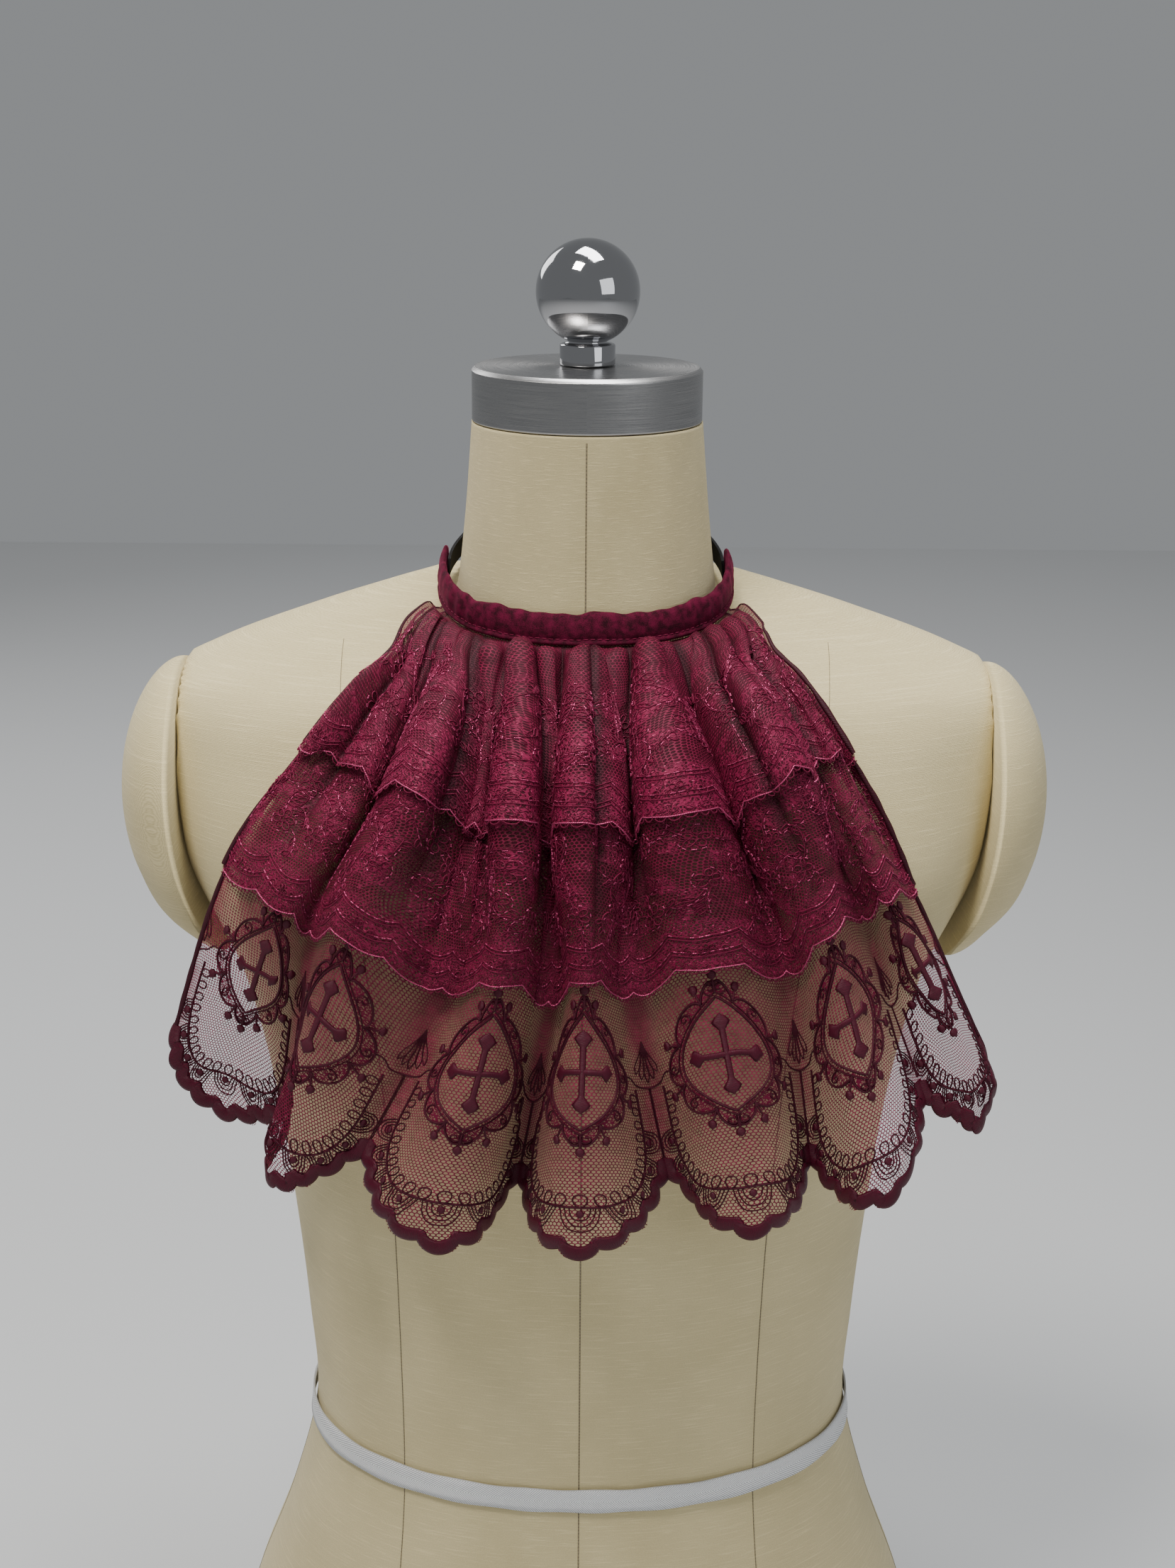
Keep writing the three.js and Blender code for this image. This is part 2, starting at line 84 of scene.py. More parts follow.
def through(knots, values, x):
    knots, values = np.asarray(knots, float), np.asarray(values, float)
    at = np.clip(x, knots[0], knots[-1])
    i = np.clip(np.searchsorted(knots, at, side="left") - 1, 0, len(knots) - 2)
    low = np.maximum(np.arange(len(knots)) - 1, 0)
    high = np.minimum(np.arange(len(knots)) + 1, len(knots) - 1)
    slope = ((values[high] - values[low]).T / (knots[high] - knots[low])).T
    span = knots[i + 1] - knots[i]
    return hermite(values[i], values[i + 1], slope[i] * span, slope[i + 1] * span, (at - knots[i]) / span)


# the form's shape

# z, half width, depth in front and behind, squareness, how far back its middle is
torsoRows = np.array([
    (0, 169, 112, 112, 2.2, 0), (60, 161, 108, 107, 2.2, 0), (120, 140, 100, 88, 2.2, 0),
    (173, 127, 93, 76, 2.15, 0), (225, 129, 97, 79, 2.1, 0), (283, 134, 103, 88, 2.1, 0),
    (340, 141, 112, 98, 2.1, 0), (400, 155, 118, 104, 2.1, 0), (450, 178, 109, 105, 2.1, 0),
    (500, 190, 82, 97, 2, 1), (525, 190, 70, 86, 1.95, 7), (540, 162, 55, 74, 1.95, 13),
    (554, 121, 39, 58, 2, 20), (563, 92, 25, 44, 2, 23), (568, 76, 16, 34, 2, 23),
    (572, 60, 8, 24, 2, 23), (575, 24, 2, 10, 2, 23),
])
# z, half width, depth in front and behind
neckRows = np.array([
    (470, 40, 40, 40), (510, 56, 58, 58), (540, 59, 60, 60), (554, 57.6, 55.6, 59),
    (568, 56, 54, 57), (585, 54, 52, 55), (607, 51.8, 50.5, 52), (640, 49.2, 49.2, 49.2),
])
armRows = np.array([(340, 150), (400, 160), (440, 171), (480, 176), (534, 176), (600, 176)])
neckTop = 639.5


def row(rows, column, z):
    return through(rows[:, 0], rows[:, column], z)


def formLevel(x, y, z):
    def oval(rows, back, power):
        depth = np.where(back > 0, row(rows, 3, z), row(rows, 2, z))
        return (abs(x) / row(rows, 1, z)) ** power + (abs(back) / np.maximum(depth, 0.1)) ** power

    body = oval(torsoRows, y - row(torsoRows, 5, z), row(torsoRows, 4, z))
    body = np.where(z < torsoRows[-1, 0], body, 1e6)
    throat = np.where(z > neckRows[0, 0], oval(neckRows, y, 2), 1e6)
    body, throat = np.maximum(body, 1e-3), np.maximum(throat, 1e-3)
    joined = (body ** -7 + throat ** -7) ** (-1 / 7)
    return np.where(z > 320, np.maximum(joined, abs(x) / row(armRows, 1, z)), joined)


def formRadius(turn, z):
    turn, z = np.broadcast_arrays(np.asarray(turn, float), np.asarray(z, float))
    side, front = np.sin(turn), -np.cos(turn)
    far = np.full(turn.shape, 240.0)
    for _ in range(40):
        far = np.where(formLevel(far * side, far * front, z) < 1, far, far - 6)
    near, far = far, far + 6
    for _ in range(16):
        middle = (near + far) / 2
        inside = formLevel(middle * side, middle * front, z) < 1
        near, far = np.where(inside, middle, near), np.where(inside, far, middle)
    return near


def onForm(turn, z, out=0.0):
    turn, z = np.broadcast_arrays(np.asarray(turn, float), np.asarray(z, float))
    reach = formRadius(turn, z) + out
    return np.stack([reach * np.sin(turn), -reach * np.cos(turn), z], -1)


# the collar's shape

band = dict(halfWidth=62.9, depth=59.4, height=13.2, thick=3.2, front=555.3, rise=40, lean=0.22, end=99)
elastic = dict(wide=9, thick=1.2, overlap=8)
bib = dict(halfAngle=76, scallops=7, gathers=14, gatherHeight=1.1, fade=46, seamInset=2.8, seamLayer=3.3,
           freeLayer=4.6, clearance=2.1, bow=5, width=546, half=39)
long = dict(length=223, layer=0, scallopDepth=39, lobes=9, lobeDepth=4.2)
middle = dict(length=146, layer=1, waves=21, waveDepth=3.5)
short = dict(length=84, layer=2, waves=21, waveDepth=3.5)
foldReach = [0, 82, 146, 250]
# plan of each crest and valley where the short, middle and long tiers end, roundness, slack
folds = np.array([
    (-109, -56, -147, -71, -180, -78, 1.0, 0.02), (-92, -72, -121, -100, -153, -80, 1.4, 0.04),
    (-77, -83, -109, -98, -126, -92, 0.8, 0.0), (-61, -101, -91, -119, -128, -115, 1.15, 0.0),
    (-41, -86, -55, -109, -100, -116, 0.8, 0.0), (-28, -110, -32, -132, -58, -138, 1.4, 0.0),
    (-12, -95, -13, -109, -30, -115, 0.8, 0.0), (1, -113, 1, -132, 0, -147, 1.2, 0.03),
    (16, -96, 20, -112, 40, -124, 0.8, 0.02), (36, -110, 50, -125, 69, -140, 1.5, 0.04),
    (61, -84, 82, -105, 98, -118, 0.7, 0.0), (73, -101, 97, -117, 124, -137, 1.3, 0.02),
    (85, -89, 112, -93, 149, -108, 0.8, 0.0), (91, -80, 121, -100, 166, -107, 1.1, 0.06),
    (102, -55, 134, -75, 178, -81, 1.0, 0.05),
])
foldAt = np.arange(15) / 14


def bandFoot(turn):
    return band["front"] + band["rise"] * ((1 - np.cos(turn)) / 2) ** 1.75


def bandPlan(turn, out):
    return np.stack([(band["halfWidth"] + out) * np.sin(turn), -(band["depth"] + out) * np.cos(turn)], -1)


def planPoint(share, down):
    seams = bandPlan(np.radians((2 * foldAt - 1) * bib["halfAngle"]), -bib["seamInset"])
    i = np.clip(np.searchsorted(foldAt, share, side="left") - 1, 0, 13)
    t = (share - foldAt[i]) * 14
    rounding = mix(1, folds[:, 6], smooth(down / 60))
    found = []
    for k in (0, 1):
        reached = np.stack([seams[:, k], folds[:, k], folds[:, 2 + k], folds[:, 4 + k]])
        place = through(foldReach, reached, down)
        padded = np.concatenate([place[:1], place, place[-1:]])
        slope = rounding * (padded[2:] - padded[:-2]) / 2
        found.append(hermite(place[i], place[i + 1], slope[i], slope[i + 1], t))
    return np.stack(found, -1)


def heldOff(p):
    level = formLevel(p[:, 0], p[:, 1], p[:, 2])
    slope = np.stack([(formLevel(*(p + 0.5 * np.eye(3)[k]).T) - level) / 0.5 for k in range(3)], -1)
    steep = np.maximum(np.linalg.norm(slope, axis=1), 1e-6)
    lack = np.where(level > 1.5, 0, np.maximum(bib["clearance"] - (level - 1) / steep, 0))
    return p + (lack / steep)[:, None] * slope


# the distance between two points of a thread, and how many of them
threadStep, threadPoints = 1.5, 190
columns = 1092
shares = np.linspace(0, 1, columns + 1)


def hangThreads():
    turn = np.radians((2 * shares - 1) * bib["halfAngle"])
    outward = np.stack([np.sin(turn), -np.cos(turn)], -1)
    seam = bandPlan(turn, -bib["seamInset"])
    held = 1 - through(foldAt, folds[:, 7], shares)
    uneven = shares + 0.012 * np.sin(shares * 21) + 0.006 * np.sin(shares * 47 + 1)
    fall = bandFoot(turn) - 1.6 * gap
    rows, before = [np.column_stack([seam, fall])], seam
    for j in range(1, threadPoints):
        down = j * threadStep
        wave = smooth(down / 9) * (1 - smooth((down - 12) / bib["fade"])) * bib["gatherHeight"]
        gather = wave * np.cos(tau * bib["gathers"] * uneven)
        place = mix(seam, planPoint(shares, down), smooth(down / 7)) + gather[:, None] * outward
        flat = np.linalg.norm(place - before, axis=1)
        fall = fall - held * np.sqrt(np.maximum(threadStep ** 2 - flat ** 2, (0.25 * threadStep) ** 2))
        before = place
        rows.append(heldOff(np.column_stack([place, fall])))
    return np.stack(rows, 1)


def layered(base, layer):
    downs = np.arange(base.shape[1]) * threadStep
    reach = np.clip(np.arange(base.shape[1])[:, None] + [-4, 4], 0, base.shape[1] - 1)
    along = base[:, reach[:, 1]] - base[:, reach[:, 0]]
    along /= np.linalg.norm(along, axis=2, keepdims=True)
    lean = np.radians((2 * shares - 1)[:, None] * mix(bib["halfAngle"], 24, smooth((downs - 4) / 36)))
    lift = 0.15 * smooth((downs - 1) / 8) * (1 - smooth((downs - 20) / 40))
    away = np.stack([np.sin(lean), -np.cos(lean), np.broadcast_to(lift, lean.shape)], -1)
    away -= along * (away * along).sum(2, keepdims=True) * smooth(downs / 6)[None, :, None]
    away /= np.linalg.norm(away, axis=2, keepdims=True)
    off = layer * mix(bib["seamLayer"], bib["freeLayer"], smooth(downs / 30))
    return base + off[None, :, None] * away


tubes = dict(count=13, height=5.4, deeper=3.0, full=84, fade=70, sideFade=34)
scallopBow = dict(height=6.5, side=96, sideFade=50, top=150, fade=60)


def gridNormals(grid):
    normal = np.cross(np.gradient(grid, axis=0), np.gradient(grid, axis=1))
    return normal / -np.maximum(np.linalg.norm(normal, axis=2, keepdims=True), 1e-9)


# how far a tier stands out from the plain fall of its threads
def fullness(tier, across, down):
    width, layer = bib["width"], tier["layer"]
    fromSide = np.minimum(across, width - across)
    # small ripples that the net takes between its folds
    ripple = 0.5 * np.sin(across / 3.9 + 0.05 * down + 2 * np.sin(across / 31 + layer))
    ripple += 0.35 * np.sin(across / 7.3 - 0.03 * down + 1.3 * layer)
    ripple *= smooth(down / 60) * (0.6 + 0.4 * np.sin(across / 53 + down / 37))
    # the gathers stand up in round tubes below the band
    phase = math.pi * tubes["count"] * across / width + 0.9 * np.sin(across / 37) + 0.1 * layer
    depth = tubes["height"] * smooth((down - 1) / 10) + tubes["deeper"] * smooth((down - 20) / 50)
    depth *= mix(0.2, 1, smooth(fromSide / tubes["sideFade"] + down / 120))
    ripple += abs(np.sin(phase)) ** 0.7 * depth * (1 - smooth((down - tubes["full"]) / tubes["fade"]))
    # each scallop of the long tier bows forward between its neighbours
    if tier is long:
        inner = smooth((fromSide - scallopBow["side"]) / scallopBow["sideFade"])
        lower = smooth((down - scallopBow["top"]) / scallopBow["fade"])
        wave = (1 - np.cos(tau * bib["scallops"] * across / width)) / 2
        ripple += scallopBow["height"] * inner * wave * lower
    return ripple


threads = hangThreads()
clothGrids, clothNormals, rowShare = {}, {}, {}
for tier in (long, middle, short):
    grid = layered(threads, tier["layer"])
    across, down = np.meshgrid(shares * bib["width"], np.arange(grid.shape[1]) * threadStep, indexing="ij")
    grid = grid + gridNormals(grid) * fullness(tier, across, down)[..., None]
    clothGrids[tier["layer"]], clothNormals[tier["layer"]] = grid, gridNormals(grid)
    # how much of the cloth's width is left in each row once it is gathered
    gathered = np.linalg.norm(np.diff(grid[::8], axis=0), axis=2).sum(0)
    rowShare[tier["layer"]] = np.minimum(gathered / bib["width"], 1)


def shareAt(layer, v):
    return np.interp(v, np.arange(len(rowShare[layer])) * threadStep, rowShare[layer])


# u runs across the flat cloth and v down it
def onCloth(layer, u, v, out=0.0):
    a = np.clip(np.asarray(u, float) / bib["width"], 0, 1) * columns
    b = np.clip(np.asarray(v, float) / threadStep, 0, threads.shape[1] - 1.001)
    i, j = np.minimum(a.astype(int), columns - 1), b.astype(int)
    s, t = (a - i)[..., None], (b - j)[..., None]
    found = []
    for g in (clothGrids[layer], clothNormals[layer]):
        found.append(mix(mix(g[i, j], g[i + 1, j], s), mix(g[i, j + 1], g[i + 1, j + 1], s), t))
    normal = found[1] / np.linalg.norm(found[1], axis=-1, keepdims=True)
    return found[0] + normal * out, normal


print("cloth hung")

# meshes


# wrap is the width in u of a surface that closes on itself, shading is smooth, sides or flat
def makeMesh(name, points, faces, uv, surface, slot, replaces=None, edge=None, wrap=None, shading="smooth"):
    mesh = bpy.data.meshes.new(name)
    faces = faces.tolist() if isinstance(faces, np.ndarray) else faces
    mesh.from_pydata((np.asarray(points, float).reshape(-1, 3) * mm).tolist(), [], faces)
    corners = np.empty(len(mesh.loops), int)
    mesh.loops.foreach_get("vertex_index", corners)
    sides = np.array([p.loop_total for p in mesh.polygons])
    for label, places in (("flat", uv), ("edge", edge)):
        if places is None:
            continue
        placed = np.asarray(places, float).reshape(-1, 2)[corners]
        if wrap:
            starts, u = np.cumsum(sides) - sides, placed[:, 0]
            spans = np.maximum.reduceat(u, starts) - np.minimum.reduceat(u, starts)
            u[np.repeat(spans > 0.49 * wrap, sides) & (u < wrap / 4)] += wrap
        mesh.uv_layers.new(name=label).data.foreach_set("uv", placed.ravel())
    rounded = (sides == 4) & (shading == "sides") | (shading == "smooth")
    mesh.polygons.foreach_set("use_smooth", rounded.tolist())
    mesh.materials.append(surface)
    mesh.update()
    made = bpy.data.objects.new(name, mesh)
    bpy.context.scene.collection.objects.link(made)
    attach(made, "root")
    if replaces:
        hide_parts(replaces)
    return made


def gridFaces(rows, across, wrap=False):
    r, c = np.meshgrid(np.arange(rows - 1), np.arange(across if wrap else across - 1), indexing="ij")
    n = (c + 1) % across
    a, b = r * across + c, r * across + n
    return np.stack([a, b, b + across, a + across], -1).reshape(-1, 4)


# closed rings, and from the first and the last one a fan of triangles to a point each
def cappedFaces(rows, across, firstTip, lastTip):
    ring, last = list(range(across)), (rows - 1) * across
    faces = gridFaces(rows, across, wrap=True).tolist()
    faces += [((i + 1) % across, i, firstTip) for i in ring]
    return faces + [(last + i, last + (i + 1) % across, lastTip) for i in ring]


# closed sections with a flat face at each end
def stripFaces(rows, across):
    ends = [list(range(across))[::-1], list(range((rows - 1) * across, rows * across))]
    return gridFaces(rows, across, wrap=True).tolist() + ends


# many tubes or raised strips in one mesh, each with a closed section
class Stitching:
    thin = np.array([(-1, -0.25), (0, 1), (1, -0.25)])
    raised = np.array([(-1, -0.1), (-0.66, 0.72), (0, 1), (0.66, 0.72), (1, -0.1), (0, -0.45)])

    def __init__(self):
        self.points, self.faces, self.uv, self.count = [], [], [], 0

    def add(self, points, normals, half, height, closed=False, section=None):
        section = self.thin if section is None else section
        points, normals = np.asarray(points), np.asarray(normals)
        if len(points) < 2:
            return
        ahead = np.roll(points, -1, 0) - np.roll(points, 1, 0) if closed else np.gradient(points, axis=0)
        ahead /= np.maximum(np.linalg.norm(ahead, axis=1, keepdims=True), 1e-9)
        side = np.cross(ahead, normals)
        side /= np.maximum(np.linalg.norm(side, axis=1, keepdims=True), 1e-9)
        n, m = len(points), len(section)
        half, height = (np.broadcast_to(size, n)[:, None, None] for size in (half, height))
        ring = points[:, None] + side[:, None] * half * section[None, :, :1]
        ring = ring + normals[:, None] * height * section[None, :, 1:]
        faces = gridFaces(n, m, wrap=True)
        if closed:
            k = np.arange(m)
            last = (n - 1) * m
            faces = np.concatenate([faces, np.stack([last + k, last + (k + 1) % m, (k + 1) % m, k], -1)])
        uv = np.stack(np.broadcast_arrays(runAlong(points)[:, None], half[:, :, 0] * section[:, 0]), -1)
        self.points.append(ring.reshape(-1, 3))
        self.uv.append(uv.reshape(-1, 2))
        self.faces.append(faces + self.count)
        self.count += n * m

    def make(self, name, material, slot):
        print(name, sum(len(f) for f in self.faces) * 2, "triangles")
        parts = (np.concatenate(part) for part in (self.points, self.faces, self.uv))
        return makeMesh(name, *parts, material, slot)


sideMargin = 0.8


# a drawing on the flat cloth, sewn on as thread
class Embroidery(Stitching):
    def __init__(self, layer, limit):
        super().__init__()
        self.layer, self.limit, self.centre = layer, limit, None

    def line(self, path, half=0.3, height=0.4, closed=False, step=1.1, section=None):
        path = np.array(path, float)
        if self.centre is not None:
            path[:, 0] = self.centre + (path[:, 0] - self.centre) / shareAt(self.layer, path[:, 1])
        if closed:
            path = np.concatenate([path, path[:1]])
        count = max(int(round(runAlong(path)[-1] / step)), 3) + 1
        u, v = evenly(path, count).T
        widths = half(np.linspace(0, 1, count)) if callable(half) else np.full(count, half)
        if closed:
            u, v, widths = u[:-1], v[:-1], widths[:-1]
        inside = (u > sideMargin) & (u < bib["width"] - sideMargin) & (v > self.limit)
        closed = closed and inside.all()
        # only the stretches that lie on the cloth that shows are sewn
        for k in np.split(np.arange(len(u)), np.flatnonzero(np.diff(inside.astype(int))) + 1):
            if len(k) > 2 and inside[k[0]]:
                points, normals = onCloth(self.layer, u[k], v[k], 0.1)
                self.add(points, normals, widths[k], height, closed, section)

    # short stitches with spaces between them
    def dashes(self, path, pick, length, space, kept):
        path = np.asarray(path, float)
        run = runAlong(path)
        at = pick.uniform(0, space)
        while at + length < run[-1]:
            if pick.random() < kept:
                here = at + np.array([0, 0.5, 1]) * length
                stitch = np.stack([np.interp(here, run, path[:, k]) for k in (0, 1)], -1)
                self.line(stitch, 0.26, 0.42, step=length / 2)
            at += length + space * pick.uniform(0.6, 1.8)

    def dot(self, u, v, radius, height):
        at = np.linspace(-1, 1, 7)
        oval = lambda share: radius * np.sqrt(np.maximum(1 - (2 * share - 1) ** 2, 0.02))
        path = np.stack([u + 0 * at, v + radius * at], -1)
        self.line(path, oval, height, step=radius / 3, section=self.raised)


# shared shader effects


# an input without a value is a vector, and one with three or four numbers a colour
def nodeGroup(name, outputs, **inputs):
    group = bpy.data.node_groups.new(name, "ShaderNodeTree")
    for label, value in inputs.items():
        kind = "Vector" if value is None else "Float" if isinstance(value, float) else "Color"
        made = group.interface.new_socket(label, in_out="INPUT", socket_type="NodeSocket" + kind)
        if value is not None:
            made.default_value = value
    for label in outputs:
        kind = "Color" if label == "Color" else "Float"
        group.interface.new_socket(label, in_out="OUTPUT", socket_type="NodeSocket" + kind)
    return group, group.nodes.new("NodeGroupInput").outputs, group.nodes.new("NodeGroupOutput").inputs


class Wiring:
    def __init__(self, tree):
        self.tree = tree

    def place(self, label):
        node = self.tree.nodes.new("ShaderNodeUVMap")
        node.uv_map = label
        return node.outputs[0]

    def put(self, value, socket):
        if isinstance(value, bpy.types.NodeSocket):
            self.tree.links.new(value, socket)
        elif value is not None:
            socket.default_value = value

    def math(self, operation, a, b=None, clamp=False):
        node = self.tree.nodes.new("ShaderNodeMath")
        node.operation, node.use_clamp = operation, clamp
        for value, socket in zip((a, b), node.inputs):
            self.put(value, socket)
        return node.outputs[0]

    def times(self, a, b):
        return self.math("MULTIPLY", a, b)

    def plus(self, a, b):
        return self.math("ADD", a, b)

    def most(self, a, b):
        return self.math("MAXIMUM", a, b)

    # rounded ridges, one for each pitch
    def ridge(self, value, pitch=1.0):
        turn = self.times(self.math("DIVIDE", value, pitch), math.pi)
        return self.math("ABSOLUTE", self.math("SINE", turn))

    def vector(self, operation, a, b=None, out="Vector"):
        node = self.tree.nodes.new("ShaderNodeVectorMath")
        node.operation = operation
        self.put(a, node.inputs[0])
        self.put(b, node.inputs[1])
        return node.outputs[out]

    def noise(self, vector, scale, detail=2.0, rough=0.5):
        node = self.tree.nodes.new("ShaderNodeTexNoise")
        self.put(vector, node.inputs["Vector"])
        self.put(scale, node.inputs["Scale"])
        node.inputs["Detail"].default_value = detail
        node.inputs["Roughness"].default_value = rough
        return node.outputs["Fac"]

    def blend(self, share, a, b):
        node = self.tree.nodes.new("ShaderNodeMix")
        node.data_type = "RGBA"
        self.put(share, node.inputs["Factor"])
        self.put(a, node.inputs[6])
        self.put(b, node.inputs[7])
        return node.outputs[2]

    def spread(self, value, low, high, toLow=0.0, toHigh=1.0, soft=False):
        node = self.tree.nodes.new("ShaderNodeMapRange")
        node.interpolation_type = "SMOOTHSTEP" if soft else "LINEAR"
        for value, socket in zip((value, low, high, toLow, toHigh), node.inputs):
            self.put(value, socket)
        return node.outputs[0]

    def split(self, vector):
        node = self.tree.nodes.new("ShaderNodeSeparateXYZ")
        self.put(vector, node.inputs[0])
        return node.outputs

    def join(self, x, y, z=0.0):
        node = self.tree.nodes.new("ShaderNodeCombineXYZ")
        for value, socket in zip((x, y, z), node.inputs):
            self.put(value, socket)
        return node.outputs[0]


# plain weave with thick and thin threads
def weaveGroup():
    group, given, out = nodeGroup("plainWeave", ("Color", "Height"), Vector=None, Pitch=0.6, Slub=0.5,
                                  Light=(0.5, 0.42, 0.3, 1), Dark=(0.3, 0.25, 0.16, 1))
    w = Wiring(group)
    at = given["Vector"]
    x, y, _ = w.split(at)
    wobble, threadPitch = w.noise(at, 0.35, 2), w.times(given["Pitch"], 0.5)
    cloth = w.times(w.plus(*(w.ridge(w.plus(way, wobble), threadPitch) for way in (x, y))), 0.5)
    along = w.noise(w.join(w.times(x, 0.05), w.times(y, 1.3)), 1.0, 3, 0.6)
    slub = w.times(w.spread(along, 0.5, 0.72, soft=True), given["Slub"])
    shade = w.plus(w.times(cloth, 0.45), w.times(w.noise(at, 1.6, 3), 0.35))
    shade = w.plus(shade, w.times(w.noise(at, 0.02, 3), 0.35))
    shade = w.plus(shade, w.times(slub, 0.35))
    w.put(w.blend(w.spread(shade, 0.38, 0.95), given["Dark"], given["Light"]), out["Color"])
    w.put(w.plus(cloth, slub), out["Height"])
    return group


# honeycomb of fine threads with open cells
def netGroup():
    group, given, out = nodeGroup("hexNet", ("Cover", "Height"), Vector=None, Pitch=1.3, Thread=0.16)
    w = Wiring(group)
    at = w.vector("DIVIDE", given["Vector"], w.join(given["Pitch"], given["Pitch"], 1.0))
    cell, halfCell = (1.0, math.sqrt(3), 1.0), (0.5, math.sqrt(3) / 2, 0.0)
    a = w.vector("SUBTRACT", w.vector("MODULO", at, cell), halfCell)
    b = w.vector("SUBTRACT", w.vector("MODULO", w.vector("ADD", at, halfCell), cell), halfCell)

    def reach(v):
        v = w.vector("ABSOLUTE", v)
        slant = w.vector("DOT_PRODUCT", v, halfCell, "Value")
        return w.math("MAXIMUM", slant, w.split(v)[0])

    edge = w.math("SUBTRACT", 0.5, w.math("MINIMUM", reach(a), reach(b)))
    cover = w.spread(edge, given["Thread"], w.times(given["Thread"], 0.6), soft=True)
    w.put(cover, out["Cover"])
    w.put(cover, out["Height"])
    return group


# close parallel stitches that run across a strip, or twisted yarn along it
def satinGroup():
    group, given, out = nodeGroup("satinStitch", ("Color", "Height"), Vector=None, Pitch=0.4, Slant=0.4,
                                  Light=(0.3, 0.02, 0.08, 1), Dark=(0.05, 0.003, 0.012, 1))
    w = Wiring(group)
    x, y, _ = w.split(given["Vector"])
    run = w.plus(w.plus(x, w.times(y, given["Slant"])), w.times(w.noise(given["Vector"], 0.7, 1), 0.5))
    ridge = w.ridge(run, given["Pitch"])
    tone = w.plus(w.times(ridge, 0.6), w.times(w.noise(given["Vector"], 0.9, 2), 0.5))
    w.put(w.blend(w.spread(tone, 0.15, 0.95), given["Dark"], given["Light"]), out["Color"])
    w.put(ridge, out["Height"])
    return group


# twill that turns back on itself in narrow stripes
def herringboneGroup():
    group, given, out = nodeGroup("herringbone", ("Shade", "Height"), Vector=None, Stripe=4.2, Pitch=0.9)
    w = Wiring(group)
    x, y, _ = w.split(given["Vector"])
    zigzag = w.math("PINGPONG", y, given["Stripe"])
    ridge = w.ridge(w.plus(x, w.times(zigzag, 1.2)), given["Pitch"])
    w.put(w.plus(w.times(ridge, 0.75), w.times(w.noise(given["Vector"], 1.2, 2), 0.3)), out["Shade"])
    w.put(ridge, out["Height"])
    return group


# close squiggles of couched cord, with short specks among them where metallic stitches glint, painted in as
# highlight
def crinkleGroup():
    group, given, out = nodeGroup("crinkle", ("Line", "Glint"), Vector=None, Scale=0.5, Lines=5.0)
    w = Wiring(group)
    at = given["Vector"]
    level = w.times(w.noise(at, given["Scale"], 1, 0.4), given["Lines"])
    w.put(w.spread(w.ridge(level), 0.35, 0.9, soft=True), out["Line"])
    x, y, _ = w.split(at)
    speck = w.noise(w.join(w.times(x, 0.75), w.times(y, 1.5)), 1.0, 1, 0.5)
    w.put(w.spread(speck, 0.66, 0.72, soft=True), out["Glint"])
    return group


weaveEffect, netEffect, crinkleEffect = weaveGroup(), netGroup(), crinkleGroup()
satinEffect, herringboneEffect = satinGroup(), herringboneGroup()


def material(name, roughness=0.6, metallic=0.0, color=(0.5, 0.5, 0.5, 1), mapped=True, **constant):
    made = bpy.data.materials.new(name)
    made.use_nodes = True
    tree = made.node_tree
    shader = tree.nodes["Principled BSDF"]
    shader.inputs["Base Color"].default_value = color
    shader.inputs["Roughness"].default_value = roughness
    shader.inputs["Metallic"].default_value = metallic
    for label, value in constant.items():
        shader.inputs[label.replace("_", " ")].default_value = value
    w = Wiring(tree)
    w.shader = shader
    w.spot = w.place("flat") if mapped else None
    return made, w


def use(w, group, **values):
    node = w.tree.nodes.new("ShaderNodeGroup")
    node.node_tree = group
    w.put(w.spot, node.inputs["Vector"])
    for label, value in values.items():
        w.put(value, node.inputs[label])
    return node.outputs


def tint(w, color):
    w.put(color, w.shader.inputs["Base Color"])


def bump(w, height, distance, strength=1.0):
    node = w.tree.nodes.new("ShaderNodeBump")
    node.inputs["Distance"].default_value = distance * mm
    node.inputs["Strength"].default_value = strength
    w.put(height, node.inputs["Height"])
    w.put(node.outputs[0], w.shader.inputs["Normal"])


linenMaterial, w = material("linen", 0.85, Sheen_Weight=0.15, Sheen_Roughness=0.5)
found = use(w, weaveEffect, Pitch=0.75, Slub=0.6, Light=(0.77, 0.66, 0.375, 1), Dark=(0.47, 0.39, 0.195, 1))
tint(w, found["Color"])
bump(w, found["Height"], 0.16, 0.7)

seamMaterial, w = material("seamThread", 0.9)
found = use(w, satinEffect, Pitch=1.6, Slant=0.0, Light=(0.30, 0.25, 0.16, 1), Dark=(0.12, 0.10, 0.06, 1))
tint(w, found["Color"])

steelMaterial, w = material("brushedSteel", 0.3, 1.0, Anisotropic=0.6)
x, y, _ = w.split(w.spot)
grain = w.noise(w.join(w.times(x, 0.03), w.times(y, 6.0)), 1.0, 4, 0.7)
w.put(w.spread(grain, 0.3, 0.7, 0.2, 0.36), w.shader.inputs["Roughness"])
tint(w, w.blend(w.spread(grain, 0.3, 0.7), (0.30, 0.30, 0.305, 1), (0.52, 0.51, 0.50, 1)))
bump(w, grain, 0.02, 0.4)

chromeMaterial, w = material("chrome", 0.05, 1.0, (0.42, 0.42, 0.43, 1))
w.put(w.spread(w.noise(w.spot, 0.12, 3), 0.4, 0.75, 0.03, 0.1), w.shader.inputs["Roughness"])

